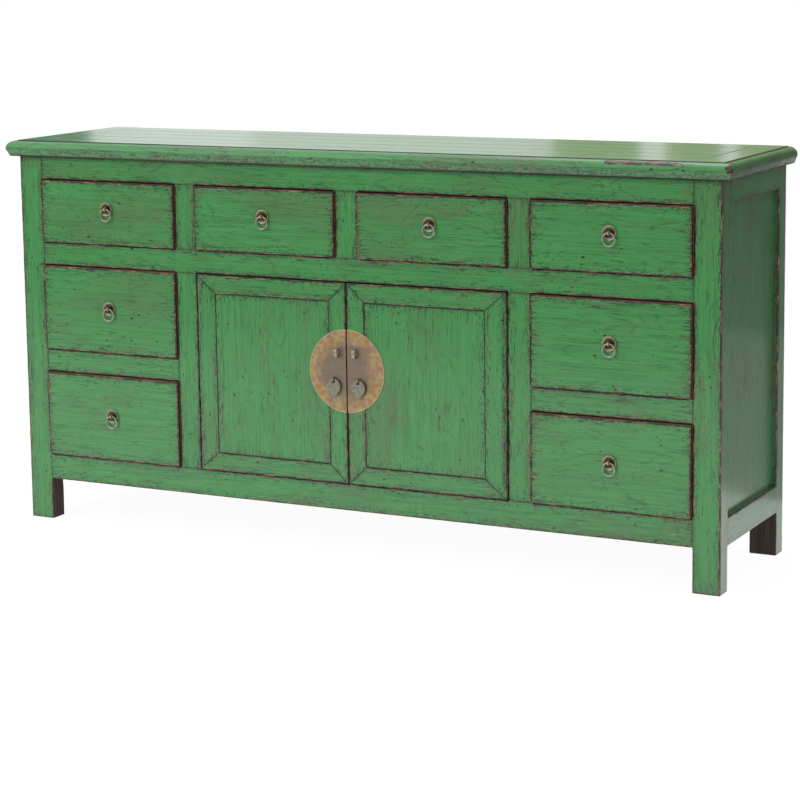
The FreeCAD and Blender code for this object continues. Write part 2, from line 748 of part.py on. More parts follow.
left_column = (-post_inner, -outer_stile_outer)
right_column = (outer_stile_outer, post_inner)
upper = [left_column, (-outer_stile_inner, -centre_stile_edge),
         (centre_stile_edge, outer_stile_inner), right_column]
for number, x in enumerate(upper, 1):
    drawer(number, x, upper_stile_z, cell("upper_pull_raise"), tails_upper)
middle_row, bottom_row = (divider[1], middle_rail[0]), (bottom_rail[1], divider[0])
lower = [(left_column, middle_row), (left_column, bottom_row),
         (right_column, middle_row), (right_column, bottom_row)]
for number, (x, z) in enumerate(lower, len(upper) + 1):
    drawer(number, x, z, cell("lower_pull_raise"), tails_lower)


# Doors: mitred frames round a panel, on wooden pivots that turn in the rails

def staple(name, x, plate_face, wood_back, z):
    """A bent strip that a sliding lock bar goes through, driven through the door and turned over."""
    loop = plate_face - cell("staple_reach")
    outer, bar, bend = cell("staple_height") / 2, cell("staple_bar"), cell("staple_round")
    inner = outer - bar
    behind = wood_back + cell("clinch")
    foot = outer + cell("staple_foot")
    above = [(behind, z + foot), (wood_back, z + foot), (wood_back, z + outer), (loop + bend, z + outer),
             (loop, z + outer - bend)]
    below = [(loop, z - outer + bend), (loop + bend, z - outer), (wood_back, z - outer),
             (wood_back, z - foot), (behind, z - foot)]
    within = [(behind, z - inner), (loop + bend, z - inner), (loop + bar, z - outer + bend),
              (loop + bar, z + outer - bend), (loop + bend, z + inner), (behind, z + inner)]
    bends = {3: (loop + bend, z + outer - bend), 5: (loop + bend, z - outer + bend)}
    return prism(name, "YZ_Plane", above + below + within, about(x, cell("staple_width")), bends)


def leaf(name, x, y, z):
    """A leaf-shaped pull that hangs by the bar above its hole."""
    crown = z + cell("leaf_bar") / 2
    wide = crown - cell("leaf_radius")
    tip = wide - cell("leaf_point")
    radius, shift = cell("leaf_radius"), cell("leaf_side_shift")
    outline = [(x, crown), (x - radius, wide), (x, tip), (x + radius, wide)]
    arcs = {0: (x, wide), 1: (x + shift, wide), 2: (x - shift, wide), 3: (x, wide)}
    blank = prism(f"{name}_blank", "XZ_Plane", outline, about(y, cell("leaf_thickness")), arcs)
    over = cell("overrun")
    hole_radius, thickness = cell("leaf_hole_radius"), cell("leaf_thickness")
    hole_centre = (x, y + thickness / 2 + over, z - cell("leaf_bar") / 2 - hole_radius)
    hole = rod(f"{name}_hole", hole_radius, hole_centre, "front", thickness + over * 2)
    return cut(name, blank, [hole])


def door(number, side):
    name = f"door_{number}"
    face = front - cell("door_stand")
    wood_back = face + cell("door_thickness")
    y = (face, wood_back)
    hinge = outer_stile_inner - cell("door_hinge_gap")
    meet = cell("meeting_gap") / 2
    hinge_in, meet_in = hinge - cell("hinge_stile"), meet + cell("meeting_stile")
    z = (bottom_rail[1] + cell("door_end_gap"), middle_rail[0] - cell("door_end_gap"))
    z_in = (z[0] + cell("door_rail"), z[1] - cell("door_rail"))
    stiles = {}
    for place, edge, inner in (("hinge", hinge, hinge_in), ("meeting", meet, meet_in)):
        corners = [(edge * side, z[0]), (edge * side, z[1]),
                   (inner * side, z_in[1]), (inner * side, z_in[0])]
        stiles[place] = prism(f"{name}_{place}_raw", "XZ_Plane", corners, y)
    rails = {}
    cover = cell("hidden_tenon_cover")
    tenon_x = across(side, meet + cover, hinge - cell("hidden_tenon_hinge_cover"))
    for place, end, inner in (("high", z[1], z_in[1]), ("low", z[0], z_in[0])):
        corners = [(hinge * side, end), (meet * side, end),
                   (meet_in * side, inner), (hinge_in * side, inner)]
        plain = prism(f"{name}_{place}_raw", "XZ_Plane", corners, y)
        tenon_z = (inner + cover, end - cover) if place == "high" else (end + cover, inner - cover)
        tenon = board(f"{name}_{place}_tenon", tenon_x, about(middle(y), cell("hidden_tenon")), tenon_z)
        rails[place] = join(f"{name}_{place}_rail", [plain, tenon])
    line = cell("door_panel_line")
    tongue = cell("door_tongue")
    sunk = face + cell("door_panel_sink")
    panel_back = sunk + cell("door_panel_thickness")
    field = board(f"{name}_field", across(side, meet_in + line, hinge_in - line), (sunk, panel_back),
                  (z_in[0] + line, z_in[1] - line))
    edge = board(f"{name}_edge", across(side, meet_in - tongue, hinge_in + tongue),
                 (panel_back - tongue, panel_back), (z_in[0] - tongue, z_in[1] + tongue))
    panel = join(f"{name}_panel_board", [field, edge])
    over, round_off = cell("overrun"), cell("door_edge_round")
    past_hinge, rounding = (hinge + over) * side, (hinge - round_off) * side
    corners = [(past_hinge, face - over), (rounding, face - over), (rounding, face),
               (hinge * side, face + round_off), (past_hinge, face + round_off)]
    waste = prism(f"{name}_edge_waste", "XY_Plane", corners, (z[0] - over, z[1] + over),
                  {2: (rounding, face + round_off)})
    reach = cell("door_end_gap") + cell("pivot_length")
    root, block = cell("pivot_root"), cell("pivot_block")
    pivots = {}
    for place, pin_low, root_low in (("low", z[0] - reach, z[0]), ("high", z[1] - over, z[1] - root)):
        foot = (pivot_x * side, pivot_y, pin_low)
        pin = rod(f"{name}_{place}_pin", cell("pivot_radius"), foot, "up", reach + over)
        pin_root = board(f"{name}_{place}_root", about(pivot_x * side, block), about(pivot_y, block),
                         (root_low, root_low + root))
        pivots[place] = join(f"{name}_{place}_pivot", [pin, pin_root])
    plate_face = face - cell("plate_thickness")
    plate_z = middle((bottom_rail[1], middle_rail[0])) + cell("plate_raise")
    strip = staple(f"{name}_staple", cell("staple_offset") * side, plate_face, wood_back,
                   plate_z + cell("staple_raise"))
    eye_centre = (cell("leaf_offset") * side, plate_face - eye_reach, plate_z - cell("leaf_drop"))
    pin = cotter(f"{name}_cotter", eye_centre, wood_back)
    disc = rod(f"{name}_disc", cell("plate_radius"), (length(0), face, plate_z), "front",
               cell("plate_thickness"))
    past = cell("plate_radius") + over
    half = board(f"{name}_plate_waste", across(side, -past, cell("plate_gap") / 2),
                 (plate_face - over, face + over), (plate_z - past, plate_z + past))
    hinge_cut = cut(f"{name}_hinge_cut", stiles["hinge"], [rails["high"], rails["low"], panel, waste])
    node(f"{name}_frame", [
        join(f"{name}_hinge_stile", [hinge_cut, pivots["low"], pivots["high"]]),
        cut(f"{name}_meeting_stile", stiles["meeting"], [rails["high"], rails["low"], panel, strip, pin]),
        cut(f"{name}_high_rail_cut", rails["high"], [panel, waste, pivots["high"]]),
        cut(f"{name}_low_rail_cut", rails["low"], [panel, waste, pivots["low"]])])
    node(f"{name}_panel", [panel])
    node(f"{name}_plate", [cut(f"{name}_plate_half", disc, [half, strip, pin])])
    node(f"{name}_fittings", [strip, pin])
    node(f"{name}_leaf", [leaf(f"{name}_leaf_cut", *eye_centre)])


door(1, -1)
door(2, 1)

doc.recompute()
faults = [one.Label for one in doc.Objects if "Invalid" in one.State or "Error" in one.State]
faults += [part.Label for part in nodes if part.Shape.isNull() or not part.Shape.isValid()]
if faults:
    raise SystemExit(f"these objects failed: {faults}")

os.makedirs("parts", exist_ok=True)
for part in nodes:
    part.Shape.exportStep(f"parts/{part.Label}.step")
    print(part.Label, len(part.Shape.Solids), "solids", round(part.Shape.Volume / 1000, 1), "cm3")
print(len(nodes), "nodes")
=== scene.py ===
import json
import math

import bmesh
import bpy
from mathutils import Matrix, Vector, noise


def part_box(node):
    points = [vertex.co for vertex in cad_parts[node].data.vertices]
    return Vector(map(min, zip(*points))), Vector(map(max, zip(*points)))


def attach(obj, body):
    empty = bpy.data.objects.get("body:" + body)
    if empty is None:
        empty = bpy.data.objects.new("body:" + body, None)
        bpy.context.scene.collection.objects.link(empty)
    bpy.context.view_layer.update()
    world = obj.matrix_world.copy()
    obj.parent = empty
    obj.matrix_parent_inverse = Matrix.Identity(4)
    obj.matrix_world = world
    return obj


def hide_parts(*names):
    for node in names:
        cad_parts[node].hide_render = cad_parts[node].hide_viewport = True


# A green lacquered sideboard with worn edges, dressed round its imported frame. Lengths are in metres.
mm = 0.001
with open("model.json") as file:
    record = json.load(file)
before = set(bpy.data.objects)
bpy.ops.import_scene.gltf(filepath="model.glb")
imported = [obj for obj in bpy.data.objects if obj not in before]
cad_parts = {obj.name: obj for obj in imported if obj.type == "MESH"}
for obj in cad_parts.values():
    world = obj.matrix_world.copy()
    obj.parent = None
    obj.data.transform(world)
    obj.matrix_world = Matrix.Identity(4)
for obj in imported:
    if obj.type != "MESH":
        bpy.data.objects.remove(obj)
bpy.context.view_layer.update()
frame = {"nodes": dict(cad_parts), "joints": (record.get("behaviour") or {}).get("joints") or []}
print("frame loaded")


# measures read from the frame

def solidGroups(node):
    # each separate solid of a node: its vertex numbers, low corner and high corner
    mesh = frame["nodes"][node].data
    home = list(range(len(mesh.vertices)))

    def rootOf(index):
        while home[index] != index:
            home[index] = home[home[index]]
            index = home[index]
        return index

    seen = {}
    for index, vertex in enumerate(mesh.vertices):
        key = tuple(round(value * 1e5) for value in vertex.co)
        home[rootOf(index)] = rootOf(seen.setdefault(key, index))
    for polygon in mesh.polygons:
        for index in polygon.vertices[1:]:
            home[rootOf(index)] = rootOf(polygon.vertices[0])
    groups = {}
    for index, vertex in enumerate(mesh.vertices):
        groups.setdefault(rootOf(index), []).append(index)
    out = []
    for members in groups.values():
        spots = [mesh.vertices[index].co for index in members]
        out.append((members, Vector(map(min, zip(*spots))), Vector(map(max, zip(*spots)))))
    return sorted(out, key=lambda group: (round(group[1].x, 3), round(group[1].z, 3), round(group[1].y, 3)))


def solidBoxes(node):
    return [(low, high) for members, low, high in solidGroups(node)]


frontPosts = solidBoxes("front_posts")
backPosts = solidBoxes("back_posts")
postInner = frontPosts[1][0].x
postOuter = frontPosts[1][1].x
frontFace = frontPosts[1][0].y
postBack = frontPosts[1][1].y
backFace = backPosts[1][1].y
backPostFront = backPosts[1][0].y
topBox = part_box("top_frame")
underTop = topBox[0].z
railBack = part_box("front_top_rail")[1].y
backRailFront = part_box("back_rails")[0].y
levels = {
    "bottom": max(solidBoxes("front_bottom_rail"), key=lambda box: box[1].x - box[0].x),
    "middle": max(solidBoxes("front_middle_rail"), key=lambda box: box[1].x - box[0].x),
    "top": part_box("front_top_rail"),
    "divider": solidBoxes("drawer_dividers")[0],
}
levels = {name: (box[0].z, box[1].z) for name, box in levels.items()}
stileBoxes = solidBoxes("front_stiles")
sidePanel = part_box("right_side_panel")
sideRailInner = solidBoxes("side_rails")[-1][0].x
print("frame measured")

# mesh building

boardLook = {  # how far a free arris wanders and is dented, and the dark line that a joint shows
    "step": 8 * mm, "wander": 0.35, "wandersPerMetre": 28, "dentsPerMetre": 60, "dentFrom": 0.35,
    "dentDepth": 3.5 * mm, "dentedFrom": 1 * mm, "tight": 0.4 * mm, "seamWear": -0.6, "tightWear": -0.8,
    "probe": 1.5 * mm, "near": 3 * mm,
}
sharpAngle = math.radians(40)  # faces that meet at more than this show an edge


def addThing(name, data):
    thing = bpy.data.objects.new(name, data)
    bpy.context.scene.collection.objects.link(thing)
    return thing


def newShape():
    return {"points": [], "faces": [], "wood": [], "wear": [], "grime": [], "slots": []}


def addGrid(shape, rings, wearRings, grimeRings, woodOf, slot=0, caps=True):
    # joins closed rings of equal length into a skin and closes its two ends
    start, count = len(shape["points"]), len(rings[0])
    for ring, wears, grimes in zip(rings, wearRings, grimeRings):
        shape["points"] += ring
        shape["wood"] += [woodOf(point) for point in ring]
        shape["wear"] += wears
        shape["grime"] += grimes
    for row in range(len(rings) - 1):
        for column in range(count):
            a = start + row * count + column
            b = start + row * count + (column + 1) % count
            shape["faces"].append((a, b, b + count, a + count))
            shape["slots"].append(slot)
    if caps:
        shape["faces"].append(tuple(reversed(range(start, start + count))))
        end = start + len(rings) * count
        shape["faces"].append(tuple(range(end - count, end)))
        shape["slots"] += [slot, slot]


def woodFrame(along, seed):
    # each board gets its own stretch of grain, which runs along it
    shift = Vector((seed * 1.37 % 7, seed * 2.11 % 5, seed * 0.73 % 3))
    order = (along, (along + 1) % 3, (along + 2) % 3)
    return lambda point: (point[order[0]] + shift.x, point[order[1]] + shift.y, point[order[2]] + shift.z)


def stationsFor(length, rounds, step):
    # distances along a board, with how far its end arrises step in, and how worn the end is
    near = []
    for radius in rounds:
        arc = [(radius * (1 - math.sin(turn)), radius * (1 - math.cos(turn))) for turn in
               (math.pi / 2, math.pi / 3, math.pi / 6, 0)]
        rows = [(along, inset, 1.0, 1.0) for along, inset in arc]
        rows += [(radius + past * mm, 0, 0.0, grime) for past, grime in ((3, 0.9), (12, 0.5), (30, 0.0))]
        near.append([row for row in rows if row[0] < length * 0.45])
    first, last = near
    low, high = first[-1][0], length - last[-1][0]
    count = max(1, int((high - low) / step))
    between = [(low + (high - low) * index / count, 0, 0.0, 0.0) for index in range(1, count)]
    return first + between + [(length - along, *marks) for along, *marks in reversed(last)]


def isJoined(point, boards, slack=0.4 * mm):
    return any(all(low[axis] - slack < point[axis] < high[axis] + slack for axis in range(3))
               for low, high in boards)


def addBoard(shape, low, high, along, seed, radius=1.6 * mm, rounds=None, endRounds=(0.4 * mm, 0.4 * mm),
             neighbours=(), startCut=None, endCut=None, endWear=(-0.7, -0.7), slot=0, wearShare=1.0,
             step=boardLook["step"], flatBack=False):
    # one board as a loft along its grain: worn arrises where it is free, tight ones where a board meets it
    b, c = (along + 1) % 3, (along + 2) % 3
    length = high[along] - low[along]
    tight, probeStep, reachOut = boardLook["tight"], boardLook["probe"], boardLook["near"]
    near = [box for box in neighbours if box[0] != Vector(low) and
            all(box[0][axis] < high[axis] + reachOut and box[1][axis] > low[axis] - reachOut
                for axis in range(3))]
    rings, wears, grimes = [], [], []
    for distance, endInset, endWorn, endGrime in stationsFor(length, endRounds, step):
        share = distance / length
        wornEnd = endWear[0 if distance < length / 2 else 1]
        ring, wearRing, grimeRing = [], [], []
        for number, (sideB, sideC) in enumerate(((-1, -1), (1, -1), (1, 1), (-1, 1))):
            base = rounds[number] if rounds else radius
            atB, atC = (low if sideB < 0 else high)[b], (low if sideC < 0 else high)[c]
            inset = 0 if flatBack and sideB > 0 else endInset
            # another board just outside either face at this arris means a joint there
            probe = Vector((0, 0, 0))
            probe[along] = low[along] + distance
            joined = False
            for outB, outC in ((probeStep, -probeStep), (-probeStep, probeStep)):
                probe[b], probe[c] = atB + sideB * outB, atC + sideC * outC
                joined = joined or isJoined(probe, near)
            # a noise point's second and third numbers only tell the arrises and the boards apart
            turn = noise.noise(Vector((probe[along] * boardLook["wandersPerMetre"], number * 9.1, seed * 3.7)))
            dent = noise.noise(Vector((probe[along] * boardLook["dentsPerMetre"], number * 5.3, seed * 1.9)))
            rounding, worn = base * (1 + boardLook["wander"] * turn), wearShare
            if base > boardLook["dentedFrom"]:
                rounding += max(0, dent - boardLook["dentFrom"]) * boardLook["dentDepth"]
            if joined:
                rounding, worn = min(base, tight), boardLook["seamWear"]
            elif base <= tight:
                worn = boardLook["tightWear"]
            # from the arris inwards each face has two more points, a near one and a far one
            reaches = [(high[axis] - low[axis]) / 2 - inset for axis in (b, c)]
            rounding = min(rounding, min(reaches) * 0.9)
            insetB, insetC = ([min(rounding + 3 * mm, (rounding + reach) / 2),
                               min(rounding + 24 * mm, rounding * 0.1 + reach * 0.9)] for reach in reaches)
            edgeB, edgeC = atB - sideB * inset, atC - sideC * inset
            onC = [(edgeB - sideB * value, edgeC) for value in insetB]
            onB = [(edgeB, edgeC - sideC * value) for value in insetC]
            arc = []
            for arcStep in range(4):
                angle = math.pi / 2 * arcStep / 3
                arc.append((edgeB - sideB * rounding * (1 - math.sin(angle)),
                            edgeC - sideC * rounding * (1 - math.cos(angle))))
            if sideB * sideC > 0:
                loop = [onB[1], onB[0]] + arc[::-1] + [onC[0], onC[1]]
            else:
                loop = [onC[1], onC[0]] + arc + [onB[0], onB[1]]
            endMark = endWorn * wornEnd
            wearLoop, grimeLoop = [0, 0] + [worn] * 4 + [0, 0], [0, 0.8, 1, 1, 1, 1, 0.8, 0]
            for (valueB, valueC), wear, grime in zip(loop, wearLoop, grimeLoop):
                spot = Vector((0, 0, 0))
                spot[b], spot[c] = valueB, valueC
                first = low[along] + (startCut(spot) if startCut else 0)
                last = high[along] - (endCut(spot) if endCut else 0)
                spot[along] = first + (last - first) * share
                ring.append(tuple(spot))
                wearRing.append(wear if abs(wear) > abs(endMark) else endMark)
                grimeRing.append(max(grime * (0.7 if joined else 1), endGrime * (0.6 + abs(wornEnd) * 0.4)))
        rings.append(ring)
        wears.append(wearRing)
        grimes.append(grimeRing)
    addGrid(shape, rings, wears, grimes, woodFrame(along, seed), slot)


def addLathe(shape, profile, centre, axis, segments, slot=0, wobble=0.0):
    # a closed profile of radius, offset and wear, turned about an axis through the centre
    rings = []
    b, c = (axis + 1) % 3, (axis + 2) % 3
    for step in range(segments):
        angle = 2 * math.pi * step / segments
        grow = 1 + wobble * noise.noise(Vector((math.cos(angle) * 2, math.sin(angle) * 2, centre[0] * 40)))
        ring = []
        for radius, offset, wear in profile:
            spot = Vector(centre)
            spot[axis] += offset
            spot[b] += radius * grow * math.cos(angle)
            spot[c] += radius * grow * math.sin(angle)
            ring.append(tuple(spot))
        rings.append(ring)
    rings.append(rings[0])
    wears = [[wear for radius, offset, wear in profile]] * len(rings)
    local = Vector(centre)
    addGrid(shape, rings, wears, wears, lambda point: tuple(Vector(point) - local), slot, caps=False)


def addWire(shape, path, halves, sideways, centre, closed=False, sides=12, power=1.0):
    # a bar bent along a path; halves gives its half width along sideways and its half depth across it, and a
    # power under 1 squares its section
    wide, deep = halves
    rings = []
    total = len(path)
    for index, point in enumerate(path):
        before = path[(index - 1) % total] if closed or index else path[0]
        after = path[(index + 1) % total] if closed or index < total - 1 else path[-1]
        forward = (Vector(after) - Vector(before)).normalized()
        across = forward.cross(sideways).normalized()
        ring = []
        for side in range(sides):
            angle = 2 * math.pi * side / sides
            over, up = (math.copysign(abs(value) ** power, value)
                        for value in (math.cos(angle), math.sin(angle)))
            ring.append(tuple(Vector(point) + sideways * (wide * over) + across * (deep * up)))
        rings.append(ring)
    if closed:
        rings.append(rings[0])
    flat = [[0.0] * sides] * len(rings)
    local = Vector(centre)
    addGrid(shape, rings, flat, flat, lambda point: tuple(Vector(point) - local), caps=not closed)


def finishShape(shape, name, materials, body, nodes, paintOf=None, knocks=None):
    for spot, radius, amount in (knocks or {}).values():
        for index, point in enumerate(shape["points"]):
            near = 1 - (Vector(point) - spot).length / radius
            if near > 0:
                shape["wear"][index] = max(shape["wear"][index], amount * min(1, near * 2))
    mesh = bpy.data.meshes.new(name)
    mesh.from_pydata(shape["points"], [], shape["faces"])
    for key, kind, field, size in (("woodAt", "FLOAT_VECTOR", "vector", 3), ("wear", "FLOAT", "value", 1),
                                   ("grime", "FLOAT", "value", 1)):
        layer = mesh.attributes.new(key, kind, "POINT")
        values = shape["wood"] if size == 3 else shape[key]
        layer.data.foreach_set(field, [part for value in values for part in value] if size == 3 else values)
    mesh.polygons.foreach_set("material_index", shape["slots"])
    for material in materials:
        mesh.materials.append(material)
    work = bmesh.new()
    work.from_mesh(mesh)
    bmesh.ops.remove_doubles(work, verts=work.verts, dist=0.002 * mm)
    bmesh.ops.recalc_face_normals(work, faces=work.faces)
    for face in work.faces:
        face.smooth = True
        chosen = paintOf(face.calc_center_median(), face.normal) if paintOf else None
        face.material_index = face.material_index if chosen is None else chosen
    for edge in work.edges:
        if len(edge.link_faces) == 2 and edge.calc_face_angle(0) > sharpAngle:
            edge.smooth = False
    work.to_mesh(mesh)
    work.free()
    mesh.update()
    thing = addThing(name, mesh)
    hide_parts(*nodes)
    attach(thing, body)


def addWoodAt(mesh, frameOf):
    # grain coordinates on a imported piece, kept for each face's own corners because its boards meet there
    layer = mesh.attributes.new("woodAt", "FLOAT_VECTOR", "CORNER")
    for polygon in mesh.polygons:
        woodOf = frameOf(polygon)
        for corner in polygon.loop_indices:
            layer.data[corner].vector = woodOf(mesh.vertices[mesh.loops[corner].vertex_index].co)


def boxFrame(high, backThickness=12.1 * mm):
    # a drawer box: the back board's grain runs across, that of the sides and the bottom runs front to back
    def frameOf(polygon):
        inBack = polygon.center.y > high.y - backThickness
        isBackBoard = abs(polygon.normal.y) > 0.7 or (abs(polygon.normal.z) > 0.7 and inBack)
        side = 0 if isBackBoard else (1 if polygon.center.x < 0 else 2)
        return woodFrame(0 if isBackBoard else 1, high.x * 10 + high.z * 7 + side)
    return frameOf


def boardFrame(node):
    # loose boards: the grain runs along each one's longest side
    owners = {}
    for number, (members, low, high) in enumerate(solidGroups(node)):
        sizes = high - low
        woodOf = woodFrame(max(range(3), key=lambda axis: sizes[axis]), number * 1.618 + low.x * 10)
        owners.update(dict.fromkeys(members, woodOf))
    return lambda polygon: owners[polygon.vertices[0]]


# material tools

def toLinear(hexColour):
    parts = [int(hexColour[start:start + 2], 16) / 255 for start in (1, 3, 5)]
    return (*(part / 12.92 if part <= 0.04045 else ((part + 0.055) / 1.055) ** 2.4 for part in parts), 1.0)


def addNode(tree, kind, inputs, out=0, **settings):
    # one node with its settings and links: an input that is another node's output is linked, the rest are set
    node = tree.nodes.new("ShaderNode" + kind)
    for name, value in settings.items():
        setattr(node, name, value)
    for key, value in inputs.items():
        if isinstance(value, bpy.types.NodeSocket):
            tree.links.new(value, node.inputs[key])
        else:
            node.inputs[key].default_value = value
    return node.outputs[out] if len(node.outputs) else None


def newTree(holder):
    holder.use_nodes = True
    holder.node_tree.nodes.clear()
    return holder.node_tree


def startMaterial(name):
    # a new material, its empty tree and the place in the wood or metal that its pieces carry
    material = bpy.data.materials.new(name)
    tree = newTree(material)
    return material, tree, addNode(tree, "Attribute", {}, "Vector", attribute_name="woodAt")


def finishMaterial(tree, inputs, height, strength, depth):
    # the shader with its bump, linked to the output
    bump = addNode(tree, "Bump", {"Height": height, "Strength": strength, "Distance": depth})
    shader = addNode(tree, "BsdfPrincipled", {**inputs, "Normal": bump})
    addNode(tree, "OutputMaterial", {"Surface": shader})


def patternAt(tree, source, size, detail=3.0, rough=0.55, warp=0.0):
    # noise whose marks are about as long and as wide as the size says, in metres
    length, width = size
    scaled = addNode(tree, "VectorMath", {0: source, 1: (1 / length, 1 / width, 1 / width)},
                     operation="MULTIPLY")
    return addNode(tree, "TexNoise", {"Vector": scaled, "Scale": 1.0, "Detail": detail, "Roughness": rough,
                                      "Distortion": warp})


def maskOf(tree, *steps, top=1.0):
    # how far each value has gone smoothly from its low to its high mark, all multiplied together and with top
    for value, low, high in steps:
        top = addNode(tree, "MapRange", {"Value": value, "From Min": low, "From Max": high, "To Max": top},
                      interpolation_type="SMOOTHSTEP")
    return top


def layOver(tree, colour, tone, *steps, top=1.0, blend="MIX"):
    # lays a tone over a colour as far as the mask of the steps says
    return addNode(tree, "Mix", {0: maskOf(tree, *steps, top=top), 6: colour, 7: tone}, 2, data_type="RGBA",
                   blend_type=blend)


def addUp(tree, start, *parts):
    # a number or a value plus some weighted values
    for value, weight in parts:
        start = addNode(tree, "Math", {0: value, 1: weight, 2: start}, operation="MULTIPLY_ADD")
    return start


# Green oil lacquer brushed over elm, rubbed through at the arrises and knocked about: fine brush and grain
# lines, small dark pits, dirt gathered near the edges, and bare brown wood on the arrises, under a glossy coat.
# Each pair is a mark's length along the grain and its width. Real brush and grain lines are a few times finer;
# they are drawn coarser so that they show.
lacquerLook = {
    "bright": "#41944c", "deep": "#33783f", "olive": "#557043", "pale": "#62a266", "thin": "#5f5a3e",
    "dirt": "#141a10", "bareWood": "#7a523c", "barePale": "#a9825f", "bareDark": "#1c100b", "seamAndShadowLine": "#0c0a07",
    "roughness": 0.36, "coat": 0.8, "coatRoughness": 0.17, "wave": 3.0, "wearLow": 0.44, "wearHigh": 0.60,
    "brush": (190 * mm, 4.4 * mm), "grain": (46 * mm, 2.2 * mm), "cloud": (300 * mm, 120 * mm),
    "patch": (75 * mm, 30 * mm), "figure": (240 * mm, 60 * mm), "figureBands": 15.0,
    "thinPlace": (160 * mm, 50 * mm), "thinLine": (26 * mm, 2.2 * mm), "stroke": (26 * mm, 3.4 * mm),
    "speck": (7 * mm, 4 * mm), "ragged": (14 * mm, 5 * mm), "stain": (26 * mm, 5 * mm),
    "ripple": (150 * mm, 40 * mm), "pitPlace": (130 * mm, 80 * mm), "pitEdge": (2.5 * mm, 1.8 * mm),
    "pits": ((12 * mm, 3.1 * mm, 0.45), (7.44 * mm, 2.046 * mm, 0.66)),  # spacing, size, share of empty cells
}


